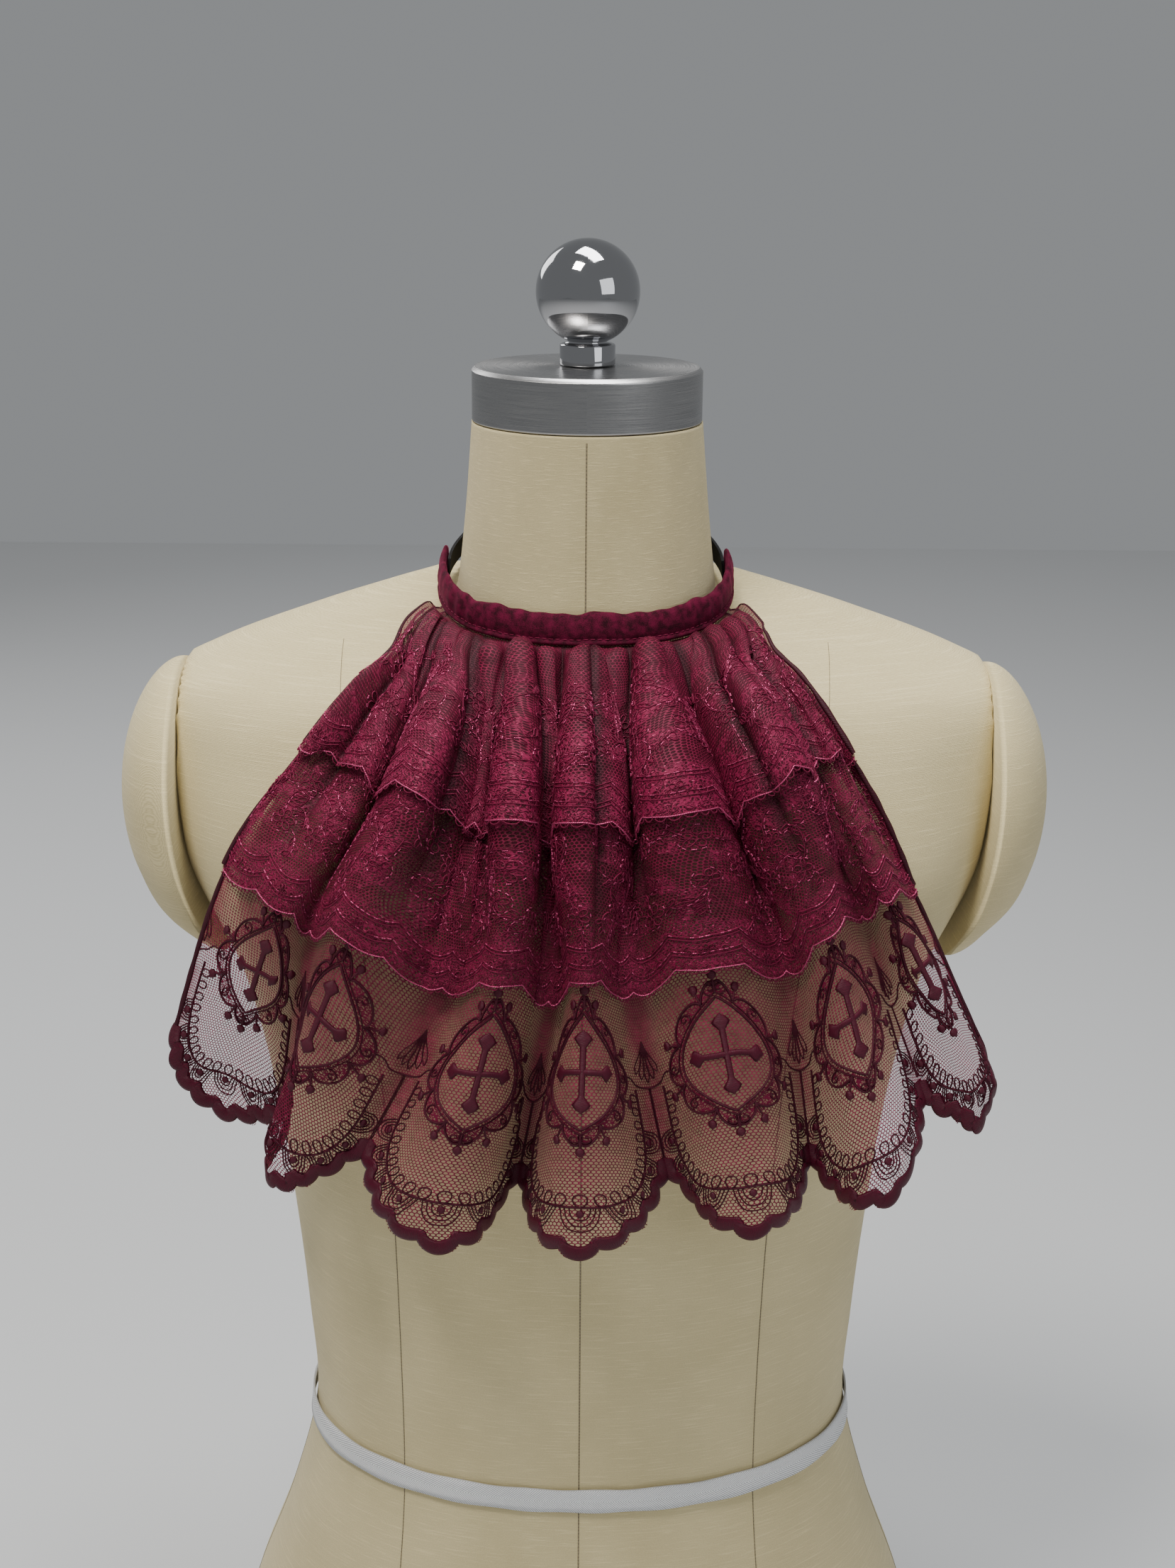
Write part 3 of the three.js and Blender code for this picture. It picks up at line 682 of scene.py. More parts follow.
velvetMaterial, w = material("velvet", 0.8, Sheen_Weight=0.3, Sheen_Roughness=0.3,
                             Sheen_Tint=(0.7, 0.1, 0.25, 1), Specular_IOR_Level=0.15)
# mottled tone of the velvet: partly uneven pile, partly painted sheen where the pile catches the light
pile, brushedPileAndSheen = w.noise(w.spot, 2.2, 4, 0.7), w.noise(w.spot, 0.3, 3)
napAndSheen = w.spread(w.plus(pile, brushedPileAndSheen), 0.8, 1.2)
tint(w, w.blend(napAndSheen, (0.02, 0.0006, 0.0045, 1), (0.12, 0.003, 0.028, 1)))
bump(w, pile, 0.3, 0.6)

elasticMaterial, w = material("elastic", 0.75, Specular_IOR_Level=0.3)
found = use(w, satinEffect, Pitch=0.8, Slant=0.0, Light=(0.012, 0.012, 0.013, 1),
            Dark=(0.002, 0.002, 0.0025, 1))
tint(w, found["Color"])
bump(w, found["Height"], 0.25)

twillMaterial, w = material("twill", 0.8, Sheen_Weight=0.2)
found = use(w, herringboneEffect, Stripe=5.4, Pitch=1.25)
tint(w, w.blend(w.spread(found["Shade"], 0.2, 0.9), (0.42, 0.43, 0.44, 1), (0.86, 0.87, 0.88, 1)))
bump(w, found["Height"], 0.25)

medallion = dict(middle=186, halfWidth=15.5, halfHeight=24, bumps=10, bump=5.6, rim=1.8, crossTall=17,
                 crossWide=12, bobble=2.0, stem=3.6, ground=7)
upperNet = dict(border=15, islandTop=42, closeTop=30, openTop=90)


# open net of the long tier, its corded ground kept to the rim of each medallion
def longNetMaterial():
    made, w = material("openNet", 0.75, Specular_IOR_Level=0.2)
    net = use(w, netEffect, Pitch=1.45, Thread=0.165)
    cord = use(w, crinkleEffect, Scale=0.55, Lines=5.0)
    u, v = w.split(w.place("edge"))[0], w.split(w.spot)[1]
    half, wide, high, rim = bib["half"], medallion["halfWidth"], medallion["halfHeight"], medallion["ground"]
    side = w.math("ABSOLUTE", w.math("SUBTRACT", w.math("MODULO", u, 2 * half), half))
    tall = w.math("ABSOLUTE", w.math("SUBTRACT", v, medallion["middle"] + 20))

    # inside a pointed oval round the middle of each medallion
    def within(wide, high):
        bend = w.math("COSINE", w.math("MINIMUM", w.times(tall, math.pi / 2 / high), math.pi / 2))
        return w.spread(w.math("SUBTRACT", w.times(bend, wide), side), -0.4, 0.4, soft=True)

    # the net lies double where it folds back between two scallops
    uneven = w.spread(w.noise(w.spot, 0.03, 2), 0.32, 0.55, soft=True)
    fold = w.times(w.spread(side, 24, 36, 0.0, 0.42, soft=True), uneven)
    ground = w.math("SUBTRACT", within(wide + rim, high + rim + 0.5), within(wide, high), clamp=True)
    line = w.times(cord["Line"], ground)
    mottle = w.spread(w.noise(w.spot, 0.3, 3), 0.3, 0.7)
    tone = w.blend(mottle, (0.10, 0.003, 0.02, 1), (0.22, 0.009, 0.05, 1))
    tint(w, w.blend(line, tone, (0.13, 0.003, 0.028, 1)))
    cover = w.spread(net["Cover"], 0.0, 1.0, w.plus(fold, 0.14), 1.0)
    w.put(w.most(cover, w.most(line, w.times(ground, 0.35))), w.shader.inputs["Alpha"])
    bump(w, w.plus(w.times(net["Height"], 0.3), line), 0.35, 0.8)
    return made


# closer net of the upper tiers, corded along the hem and in scattered islands, with painted shade between the
# gathers and painted glints
def laceNetMaterial():
    made, w = material("closeNet", 0.65, Specular_IOR_Level=0.25)
    net = use(w, netEffect, Pitch=1.35, Thread=0.17)
    cord = use(w, crinkleEffect, Scale=0.5, Lines=5.0)
    u, fromHem, _ = w.split(w.place("edge"))
    v = w.split(w.spot)[1]
    top, border = upperNet["islandTop"], upperNet["border"]
    island = w.spread(w.noise(w.spot, 0.075, 2), 0.49, 0.55, soft=True)
    island = w.times(island, w.spread(v, top, top + 12))
    where = w.most(w.spread(fromHem, border, border + 7, 1.0, 0.0, soft=True), island)
    line = w.times(cord["Line"], where)
    # painted shade: the colour darkens to near black between two gathers, whose phase is that of the tubes,
    # and the glints there are dimmed with it
    phase = w.times(w.math("SINE", w.math("DIVIDE", u, 37.0)), 0.9)
    phase = w.plus(phase, w.times(u, math.pi * tubes["count"] / bib["width"]))
    paintedLight = w.math("ABSOLUTE", w.math("SINE", w.plus(phase, 0.15)))
    paintedLight = w.most(w.spread(paintedLight, 0.0, 0.62, 0.22, 1.0, soft=True), w.spread(v, 100, 160))
    # painted highlight: short specks of metallic thread painted bright pink as glints, partly a lighter
    # thread, dimmed where the gathers are in painted shade
    glint = w.times(w.times(cord["Glint"], where), paintedLight)
    mottle = w.spread(w.noise(w.spot, 0.25, 3), 0.3, 0.7)
    ground = w.blend(mottle, (0.075, 0.0015, 0.014, 1), (0.2, 0.004, 0.04, 1))
    ground = w.blend(net["Cover"], (0.055, 0.001, 0.011, 1), ground)
    # painted shade between the gathers near the band
    tone = w.blend(paintedLight, (0.02, 0.0004, 0.004, 1), w.blend(line, ground, (0.19, 0.005, 0.042, 1)))
    tint(w, w.blend(glint, tone, (0.52, 0.06, 0.15, 1)))
    w.put(w.spread(glint, 0.0, 1.0, 0.65, 0.28), w.shader.inputs["Roughness"])
    # the gathered net lies closer near the band
    body = w.spread(v, upperNet["closeTop"], upperNet["openTop"], 0.66, 0.36)
    cover = w.spread(net["Cover"], 0.0, 1.0, body, 1.0)
    w.put(w.most(cover, w.most(line, w.times(where, 0.6))), w.shader.inputs["Alpha"])
    bump(w, w.plus(w.times(net["Height"], 0.35), line), 0.4, 0.9)
    return made


openNet, closeNet = longNetMaterial(), laceNetMaterial()


def threadMaterial(name, light, dark, pitch, roughness, slant=0.4, metallic=0.0):
    made, w = material(name, roughness, metallic, Specular_IOR_Level=0.25)
    found = use(w, satinEffect, Pitch=pitch, Slant=slant, Light=light + (1,), Dark=dark + (1,))
    tint(w, found["Color"])
    bump(w, found["Height"], 0.12, 0.8)
    return made


satinThread = threadMaterial("satinThread", (0.085, 0.0015, 0.017), (0.022, 0.0005, 0.005), 0.5, 0.5, 0.15)
fineThread = threadMaterial("fineThread", (0.07, 0.001, 0.014), (0.018, 0.0004, 0.004), 0.7, 0.6, 0.8)
laceThread = threadMaterial("laceThread", (0.24, 0.011, 0.058), (0.065, 0.002, 0.014), 0.6, 0.55, 0.8)
# metallic glint thread: a lighter thread whose bright pink colour also paints in the highlight of its glints
glintThread = threadMaterial("glintThread", (0.78, 0.13, 0.30), (0.25, 0.015, 0.07), 0.9, 0.3, 0.9, 0.4)
hemThread = threadMaterial("hemThread", (0.05, 0.0015, 0.011), (0.014, 0.0004, 0.003), 0.8, 0.6, 0.7)
print("materials made")

# dress form

formMesh = dict(around=256, girth=130)


# padding that gives a little between the seams
def padding(turn, z):
    return 0.25 * np.sin(3 * turn + z / 61) + 0.15 * np.sin(7 * turn - z / 37)


def buildTorso():
    around, girth = formMesh["around"], formMesh["girth"]
    steps = [np.arange(4, 500, 6.0), np.arange(500, 590, 1.5), np.arange(590, neckTop, 6.0)]
    heights = np.unique(np.concatenate(steps + [[0, 1.2, neckTop - 1, neckTop]]))
    t, z = np.meshgrid(np.arange(around) / around * tau, heights)
    points = onForm(t, z, padding(t, z))
    n = len(heights) * around
    every = np.concatenate([points.reshape(-1, 3), [points[0].mean(0), points[-1].mean(0)]])
    uv = np.stack([t * girth, z], -1).reshape(-1, 2)
    uv = np.concatenate([uv, [[0, -80], [0, neckTop + 40]]])
    faces = cappedFaces(len(heights), around, n, n + 1)
    makeMesh("form", every, faces, uv, linenMaterial, "linen", "form_torso", wrap=tau * girth,
             shading="sides")


buildTorso()

seams = dict(half=0.34, height=0.18, step=3.0, armhole=400, shoulder=548)
# z of the side front and side back seams, and how far they lie from the middle
princessSeam = np.array([
    (0, 92), (60, 88), (120, 82), (173, 79), (283, 80), (340, 82), (400, 86), (480, 97), (540, 104),
    (560, 104),
], float)


# the turn at which the form's front or back is x from the middle
def acrossForm(x, z, sign):
    turn = np.arctan2(x, 100.0) * np.ones_like(z)
    for _ in range(25):
        here = formRadius(turn if sign > 0 else math.pi - turn, z) * np.sin(turn)
        turn = np.clip(turn + (x - here) / 160.0, -1.5, 1.5)
    return turn if sign > 0 else math.pi - turn


def buildSeams():
    stitch = Stitching()

    def follow(turn, z):
        points = onForm(turn, z, 0.05 + padding(turn, z))
        normals = np.stack([np.sin(turn), -np.cos(turn), 0 * z], -1)
        stitch.add(points, normals, seams["half"], seams["height"])

    z = np.arange(1.0, neckTop - 0.5, seams["step"])
    below = z[z < seams["armhole"]]
    for turn, height in ((0, z), (math.pi, z), (math.pi / 2, below), (-math.pi / 2, below)):
        follow(np.full_like(height, turn), height)
    z = np.arange(1.0, seams["shoulder"], seams["step"])
    x = through(princessSeam[:, 0], princessSeam[:, 1], z)
    for side in (1, -1):
        for sign in (1, -1):
            follow(acrossForm(side * x, z, sign), z)
    stitch.make("form_seams", seamMaterial, "linen")


buildSeams()

armCap = dict(halfDepth=52, halfHeight=67, middle=467, bulge=26)


def buildArmCap(name, sign, replaces):
    around, rings, middle = 96, 34, armCap["middle"]
    ringShare = np.concatenate([[1.0, 1.0], np.sin(np.linspace(math.pi / 2, 0.02, rings))])
    out = 0.3 + armCap["bulge"] * (1 - ringShare ** 2.4) ** 0.6 + 2 * (np.arange(len(ringShare)) > 0)
    r, t = np.meshgrid(ringShare, sign * np.arange(around) / around * tau, indexing="ij")
    y = armCap["halfDepth"] * r * np.cos(t)
    z = middle + armCap["halfHeight"] * r * np.sin(t)
    # small creases where the cover is drawn in at the bottom
    low = smooth((-np.sin(t) - 0.1) / 0.8) * smooth((r - 0.45) / 0.4)
    crease = 0.8 * low * np.sin(9 * t + 5 * r + 0.7 * sign)
    x = sign * (row(armRows, 1, z) + gap + out[:, None] + crease * (out[:, None] > 2))
    foot = row(armRows, 1, np.array(middle)) + gap
    points = np.stack([x, y, z], -1).reshape(-1, 3)
    n = len(points)
    points = np.concatenate([points, [[sign * (foot + far), 0, middle] for far in (out[-1], 0.3)]])
    uv = np.stack([points[:, 1] + points[:, 0] * 0.6, points[:, 2]], -1)
    faces = cappedFaces(len(ringShare), around, n + 1, n)
    makeMesh(name, points, faces, uv, linenMaterial, "linen", replaces)


buildArmCap("armCapRight", 1, "arm_cap_right")
buildArmCap("armCapLeft", -1, "arm_cap_left")


def lathe(name, outline, around, uvScale, surface, slot, replaces):
    outline = np.asarray(outline, float)
    r, t = np.meshgrid(outline[:, 0], np.arange(around + 1) / around * tau, indexing="ij")
    points = np.stack([r * np.sin(t), -r * np.cos(t), outline[:, 1][:, None] + 0 * t], -1)
    uv = np.stack([t * uvScale, runAlong(outline)[:, None] + 0 * t], -1)
    makeMesh(name, points, gridFaces(len(outline), around + 1), uv, surface, slot, replaces)


capShape = dict(radius=49, foot=neckTop + gap, height=23, bevel=2.0)


def buildCap():
    r, foot, b = capShape["radius"], capShape["foot"], capShape["bevel"]
    top = foot + capShape["height"]
    side = [(0.01, foot), (r - 0.3, foot), (r, foot + 0.4), (r, foot + 1), (r, top - b - 0.5), (r, top - b)]
    bevel = [(r - 0.1, top - b + 0.1), (r - b * 0.72, top - 0.35), (r - b * 0.8, top - 0.3)]
    face = [(r - b, top - 0.25), (r - b - 1, top - 0.22), (20, top - 0.1), (0.01, top)]
    lathe("neckCap", side + bevel + face, 160, r, steelMaterial, "steel", "neck_cap")


buildCap()

finialShape = dict(post=11.8, height=9.6, ball=22, neck=8, foot=neckTop + 2 * gap + 23)


def buildFinial():
    p, foot, ball = finialShape["post"], finialShape["foot"], finialShape["ball"]
    top, neck = foot + finialShape["height"], finialShape["neck"]
    outline = [(0.01, foot), (p - 0.2, foot), (p, foot + 0.2), (p, foot + 0.5), (p, top - 1.6),
               (p - 0.2, top - 1.2), (p - 1, top - 0.7), (neck, top)]
    start = math.asin(neck / ball)
    middleZ = top + math.sqrt(ball ** 2 - neck ** 2)
    for i in range(1, 49):
        polar = (math.pi - start) * (1 - i / 48)
        outline.append((max(ball * math.sin(polar), 0.01), middleZ + ball * math.cos(polar)))
    lathe("ballFinial", outline, 96, ball, chromeMaterial, "chrome", "ball_finial")


buildFinial()

tapeShape = dict(wide=11, thick=0.9, height=173, dip=1.5)


def buildTape():
    turns = np.linspace(0, tau, 241)
    section = [(-1, 0), (-1, 1), (-0.5, 1), (0, 1), (0.5, 1), (1, 1), (1, 0)]
    rings = []
    for up, out in section:
        edge = 0.25 * np.sin(turns * 260) * (abs(up) == 1)
        z = tapeShape["height"] - tapeShape["dip"] * np.cos(turns) + up * (tapeShape["wide"] / 2 + edge)
        rings.append(onForm(turns, z, gap + 0.7 + out * tapeShape["thick"]))
    half = tapeShape["wide"] / 2
    v = np.array([-8, -half, -half / 2, 0, half / 2, half, 8]) + half
    uv = np.stack(np.broadcast_arrays((turns * 108)[:, None], v), -1)
    faces = gridFaces(len(turns), len(section), wrap=True)
    makeMesh("waistTape", np.stack(rings, 1), faces, uv, twillMaterial, "twill", "waist_tape")


buildTape()
print("form built")

# neckband and elastic


def bandSurface(turn, up, side):
    ripple = 0.5 * np.sin(turn * 9 + 0.6) + 0.35 * np.sin(turn * 17)
    fine = 0.35 * np.sin(turn * 43 + 1) * np.sin(turn * 5) * np.sin(math.pi * np.clip(up, 0, 1))
    height = up * band["height"] * (1 + 0.07 * ripple + 0.035 * np.sin(turn * 31) * np.sin(turn * 7 + 2))
    inward = band["lean"] * height * (0.4 + 0.6 * np.cos(turn))
    plan = bandPlan(turn, side * band["thick"] / 2 - inward + fine)
    return np.concatenate([plan, (bandFoot(turn) + height * math.cos(band["lean"]))[..., None]], -1)


# share of the height and of the half thickness: a folded strip, fuller above its stitching
bandSection = np.array([
    (0.0, -0.7), (0.0, 0.55), (0.035, 0.95), (0.1, 1.0), (0.15, 0.72), (0.19, 0.6), (0.23, 0.74), (0.32, 1.0),
    (0.5, 1.12), (0.7, 1.08), (0.85, 0.9), (0.95, 0.55), (1.0, 0.1), (0.98, -0.4), (0.9, -0.75), (0.6, -0.95),
    (0.3, -0.9),
])
bandRadius = 61


def buildBand():
    turns = np.radians(np.linspace(-band["end"], band["end"], 321))
    t, up = np.meshgrid(turns, bandSection[:, 0], indexing="ij")
    points = bandSurface(t, up, np.broadcast_to(bandSection[:, 1], t.shape))
    girth = runAlong(bandSection * [band["height"], band["thick"] / 2])
    uv = np.stack(np.broadcast_arrays((turns * bandRadius)[:, None], girth), -1)
    faces = stripFaces(*t.shape)
    makeMesh("neckband", points, faces, uv, velvetMaterial, "velvet", "neckband", shading="sides")


buildBand()

bandStitch = dict(length=1.9, space=0.9, half=0.22, height=0.25, up=0.19, side=0.72, sunk=0.25)


def buildBandStitches():
    stitch = Stitching()
    turn = -band["end"] + 1
    length, space = (math.degrees(bandStitch[name] / bandRadius) for name in ("length", "space"))
    while turn < band["end"] - 1:
        ends = np.radians(np.linspace(turn, turn + length, 4))
        normals = np.stack([np.sin(ends), -np.cos(ends), 0 * ends], -1)
        points = bandSurface(ends, np.full(4, bandStitch["up"]), np.full(4, bandStitch["side"]))
        points[[0, 3]] -= bandStitch["sunk"] * normals[[0, 3]]
        stitch.add(points, normals, bandStitch["half"], bandStitch["height"])
        turn += length + space
    stitch.make("neckband_stitches", laceThread, "velvet")


buildBandStitches()


def buildElastic():
    steps, wide, thick = 160, elastic["wide"], elastic["thick"]
    start = math.radians(band["end"] - elastic["overlap"])
    turns = np.linspace(start, tau - start, steps + 1)
    behind = smooth(np.minimum(np.arange(steps + 1), steps - np.arange(steps + 1)) / (7 * steps / 32))
    outward = np.stack([np.sin(turns), -np.cos(turns)], -1)
    # side, share of the width, and where the cloth's texture lies
    section = [(-1, 0, 0), (-1, 0.5, 4), (-1, 1, 9), (1, 1, 10), (1, 0.75, 12.5), (1, 0.5, 15), (1, 0.25, 17),
               (1, 0, 19)]
    rings = []
    for side, up, _ in section:
        raised = 2.5 + up * wide
        z = bandFoot(turns) + raised
        inward = band["thick"] / 2 + gap + thick + band["lean"] * raised * (0.4 + 0.6 * np.cos(turns))
        inside = bandPlan(turns, -inward)
        flat = mix(inside, onForm(turns, z, 0.7)[:, :2], behind[:, None]) + (side + 1) / 2 * thick * outward
        rings.append(np.column_stack([flat, z]))
    uv = np.stack(np.broadcast_arrays([place for _, _, place in section], (turns * 60)[:, None]), -1)
    faces = stripFaces(steps + 1, len(section))
    makeMesh("neckElastic", np.stack(rings, 1), faces, uv, elasticMaterial, "elastic", "neck_elastic",
             shading="flat")


buildElastic()
print("band built")

# hems


def bow(length, u):
    return length + bib["bow"] * (2 * u / bib["width"] - 1) ** 2


def waveHem(tier, u):
    wave = abs(np.sin(math.pi * tier["waves"] * u / bib["width"])) ** 0.8
    return bow(tier["length"], u) + tier["waveDepth"] * wave


# the curve of one scallop, from its left to its right notch
spread = np.linspace(-1, 1, 2001)
scallop = np.stack([bib["half"] * spread, long["scallopDepth"] * (1 - abs(spread) ** 1.45)], -1)
scallop = evenly(scallop, 181)
scallopNormals = normalsOf(scallop)


def lobe(share):
    return abs(np.sin(math.pi * long["lobes"] * share)) ** 0.75


# a line along a scallop's edge, moved out by a function of the share of its length
def scallopPath(s, offset):
    u, v = (scallop + scallopNormals * offset(np.linspace(0, 1, len(scallop)))[:, None]).T
    left, wide, margin = 2 * bib["half"] * s, 2 * bib["half"], 0.35
    u = np.clip(left + bib["half"] + u, left + margin, left + wide - margin)
    return np.stack([u, bow(long["length"], u) + v], -1)


def longHem(u):
    found = np.zeros_like(u)
    for s in range(bib["scallops"]):
        path = scallopPath(s, lambda share: long["lobeDepth"] * lobe(share))
        order = np.argsort(path[:, 0])
        inside = (u >= 2 * bib["half"] * s) & (u <= 2 * bib["half"] * (s + 1))
        found[inside] = np.interp(u[inside], path[order, 0], path[order, 1])
    return found


hems = dict(long=longHem, middle=lambda u: waveHem(middle, u), short=lambda u: waveHem(short, u))

# net of the tiers

tierMesh = dict(row=2.6, inset=0.4, margin=20)


def buildTier(name, tier, surface, slot):
    width, margin = bib["width"], tierMesh["margin"]
    u = np.linspace(0, width, width + 1)
    hem = hems[name](u) - tierMesh["inset"]
    rows = int(tier["length"] / tierMesh["row"])
    v = (np.linspace(0, 1, rows + 1) ** 0.9)[:, None] * hem
    every = np.broadcast_to(u, v.shape)
    points, _ = onCloth(tier["layer"], every, v)
    flared = width / 2 + (u - width / 2) * shareAt(tier["layer"], v)
    uv, edge = np.stack([flared + margin, v + margin], -1), np.stack([every, hem - v], -1)
    faces = gridFaces(rows + 1, width + 1)[:, ::-1]
    return makeMesh(name + "Tier", points, faces, uv, surface, slot, name + "_tier", edge)


longNet = buildTier("long", long, openNet, "tulle")
middleNet = buildTier("middle", middle, closeNet, "lace")
shortNet = buildTier("short", short, closeNet, "lace")
print("tiers built")

# embroidery of the long tier


def ring(u, v, radius, start=0.0, end=tau, count=24, tall=1.0):
    t = np.linspace(start, end, count)
    return np.stack([u + radius * np.sin(t), v - tall * radius * np.cos(t)], -1)


def spiral(u, v, radius, start, turns, flip=1):
    t = np.linspace(0, 1, int(10 + 14 * abs(turns)))
    r = radius * (1 - 0.82 * t)
    a = start + flip * tau * turns * t
    return np.stack([u + r * np.sin(a), v - r * np.cos(a)], -1)


# a shape given along and across a direction, from a place
def turned(u, v, angle, along, across):
    return np.stack([u + along * math.sin(angle) + across * math.cos(angle),
                     v - along * math.cos(angle) + across * math.sin(angle)], -1)


# a pointed oval, moved outwards by grow
def mandorla(grow, count=160):
    t = np.linspace(0, tau, count, endpoint=False)
    side, down = np.sign(np.sin(t)), -np.cos(t)
    high, wide = medallion["halfHeight"] + 1.15 * grow, medallion["halfWidth"] + grow
    return np.stack([side * wide * np.cos(math.pi / 2 * np.clip(down, -1, 1)), high * down], -1)


# the oval, the directions out of it and its bumpy outer rim
def bumpyRim(count=400):
    t = np.linspace(0, tau, count, endpoint=False)
    inner = mandorla(0, count)
    out = mandorla(1, count) - inner
    out /= np.maximum(np.linalg.norm(out, axis=1, keepdims=True), 1e-6)
    closed = np.concatenate([out[-12:], out, out[:12]])
    out = np.stack([np.convolve(closed[:, k], np.ones(25) / 25, "valid") for k in (0, 1)], -1)
    grow = medallion["rim"] + medallion["bump"] * abs(np.sin(medallion["bumps"] * t / 2)) ** 0.6
    return inner, out, inner + out * grow[:, None]


# half the width of a cross's arm, with a lozenge near its end
def armWidth(share):
    return 1.3 + 2.6 * np.maximum(1 - abs(share - 0.79) / 0.2, 0) - 1.2 * smooth((share - 0.9) / 0.1)


def sewMedallion(satin, fine, u, v):
    at = np.array([u, v])
    for grow, half in ((0.0, 0.6), (1.7, 0.32)):
        fine.line(mandorla(grow) + at, half, 0.5, closed=True)
    inner, out, rim = bumpyRim()
    fine.line(rim + at, 0.6, 0.65, closed=True, step=0.9)
    step = len(rim) / medallion["bumps"]
    for k in range(medallion["bumps"]):
        i, j = int(k * step), int((k + 0.5) * step)
        # a scroll in each bump, and a knob on a short stem between bumps
        scroll = inner[j] + out[j] * (medallion["rim"] + 0.5 * medallion["bump"]) + at
        turn = math.atan2(out[j, 0], -out[j, 1])
        fine.line(spiral(*scroll, 2.6, turn + math.pi, 1.2, 1 if k % 2 else -1), 0.36, 0.5, step=0.8)
        knob = inner[i] + out[i] * (medallion["bump"] + medallion["stem"]) + at
        root = inner[i] + out[i] * medallion["rim"] + at
        satin.dot(*knob, medallion["bobble"], 0.9)
        satin.line(np.stack([root, knob]), 0.5, 0.5, step=0.8, section=Stitching.raised)
    tall, wide = medallion["crossTall"], medallion["crossWide"]
    for end in ((0, -tall), (0, tall), (wide, 0), (-wide, 0)):
        satin.line(np.stack([at, at + end]), armWidth, 0.7, step=0.7, section=Stitching.raised)


arc = dict(half=29, top=190, turn=206, bottom=243, power=2.3, loops=23, tall=5.6, wide=1.75, dots=9)


# the line that the loops stand on, down one side of a scallop and up the other, with its outward normals
def arcLine(u, rise):
    t, half = np.linspace(0, math.pi, 400), arc["half"]
    x = np.sign(np.cos(t)) * abs(np.cos(t)) ** (2 / arc["power"]) * half
    y = arc["turn"] + (arc["bottom"] - arc["turn"]) * np.sin(t) ** (2 / arc["power"])
    path = np.concatenate([[(half, arc["top"])], np.stack([x, y], -1), [(-half, arc["top"])]])
    path = evenly(path, 240)
    return path + [u, rise], -normalsOf(path)


# satin border, thick between its lobed edge and a softer inner line
def sewBorder(satin, s):
    path = scallopPath(s, lambda share: long["lobeDepth"] * lobe(share) - 3.0 - 0.35 * lobe(share))
    satin.line(path, lambda share: 2.4 + 0.9 * lobe(share), 0.75, step=0.7, section=Stitching.raised)


# loops that stand on a curved line, and between it and the border dots in threefold hanging lines
def sewArc(satin, fine, u, rise):
    line, normals = arcLine(u, rise)
    last = len(line) - 1
    fine.line(line, 0.6, 0.6)
    t = np.linspace(0, tau, 18, endpoint=False)
    tall, wide = arc["tall"] / 2 * (1 - np.cos(t)), arc["wide"] * np.sin(t) * (1 - 0.2 * np.cos(t))
    for k in np.linspace(0.03, 0.97, arc["loops"]):
        n, foot = normals[int(k * last)], line[int(k * last)]
        loop = foot - n * tall[:, None] + np.array([-n[1], n[0]]) * wide[:, None]
        fine.line(loop, 0.36, 0.42, closed=True, step=1.1)
    t = np.linspace(-1, 1, 23)
    for k in range(arc["dots"]):
        i = int((0.17 + 0.66 * k / (arc["dots"] - 1)) * last)
        n, foot = normals[i], line[i]
        satin.dot(*(foot + 2.8 * n), 1.7, 0.7)
        for wide, deep in ((2.6, 5.6), (3.9, 7.6), (5.2, 9.6)):
            hang = deep * np.sqrt(np.maximum(1 - abs(t) ** 2.6, 0))
            hanging = foot + np.array([-n[1], n[0]]) * (wide * t)[:, None] + n * hang[:, None]
            fine.line(hanging, 0.32, 0.4, step=0.9)


fan = dict(top=168, foot=188, petals=2, reach=19, lean=0.23, swell=1.7, wide=9.4, reachOut=9.5, tail=222)


# a fan on the line between two scallops, opening downwards, with a double line below it
def sewFan(fine, u):
    foot, wide = fan["foot"], fan["wide"]
    t = np.linspace(0, 1, 20)
    for k in range(-fan["petals"], fan["petals"] + 1):
        reach, lean = fan["reach"] - 0.9 * abs(k), fan["lean"] * k
        body = np.stack([u + reach * np.sin(lean) * t ** 1.15, fan["top"] + reach * np.cos(lean) * t], -1)
        swell = np.stack([fan["swell"] * np.sin(math.pi * t ** 2.4), 0 * t], -1)
        for side in (1, -1):
            fine.line(body + side * swell, 0.28, 0.38)
    t = np.linspace(-1, 1, 15)
    fine.line(np.stack([u + wide * t, foot + 1.8 * (1 - t * t)], -1), 0.4, 0.45)
    for side in (0.45, -0.45):
        fine.line([(u + side, foot + 2), (u + side, fan["tail"])], 0.3, 0.45)
    t = np.linspace(0, 1, 14)
    for side in (1, -1):
        branch = np.stack([u + side * (wide + fan["reachOut"] * t), foot - 3.2 * np.sin(math.pi * t)], -1)
        fine.line(branch, 0.36, 0.42)


def buildLongEmbroidery():
    satin, fine = Embroidery(0, 118), Embroidery(0, 118)
    for s in range(bib["scallops"]):
        centre = bib["half"] * (2 * s + 1)
        sewBorder(satin, s)
        sewArc(satin, fine, centre, bow(long["length"], centre) - long["length"])
        sewMedallion(satin, fine, centre, medallion["middle"])
    for s in range(bib["scallops"] + 1):
        sewFan(fine, 2 * bib["half"] * s)
    return satin.make("long_satin", satinThread, "tulle"), fine.make("long_lines", fineThread, "tulle")


longSatin, longLines = buildLongEmbroidery()

# embroidery of the two upper tiers

lacework = dict(picot=3.9, lower=10, upper=30, leaf=1.9, leafHalf=0.85)


def flower(work, u, v, radius, petals, turn, half=0.27):
    t = np.linspace(0, tau, 9, endpoint=False)
    along, across = radius * (0.6 - 0.4 * np.cos(t)), radius * 0.3 * np.sin(t)
    for k in range(petals):
        petal = turned(u, v, turn + tau * k / petals, along, across)
        work.line(petal, half, 0.4, closed=True, step=0.9)


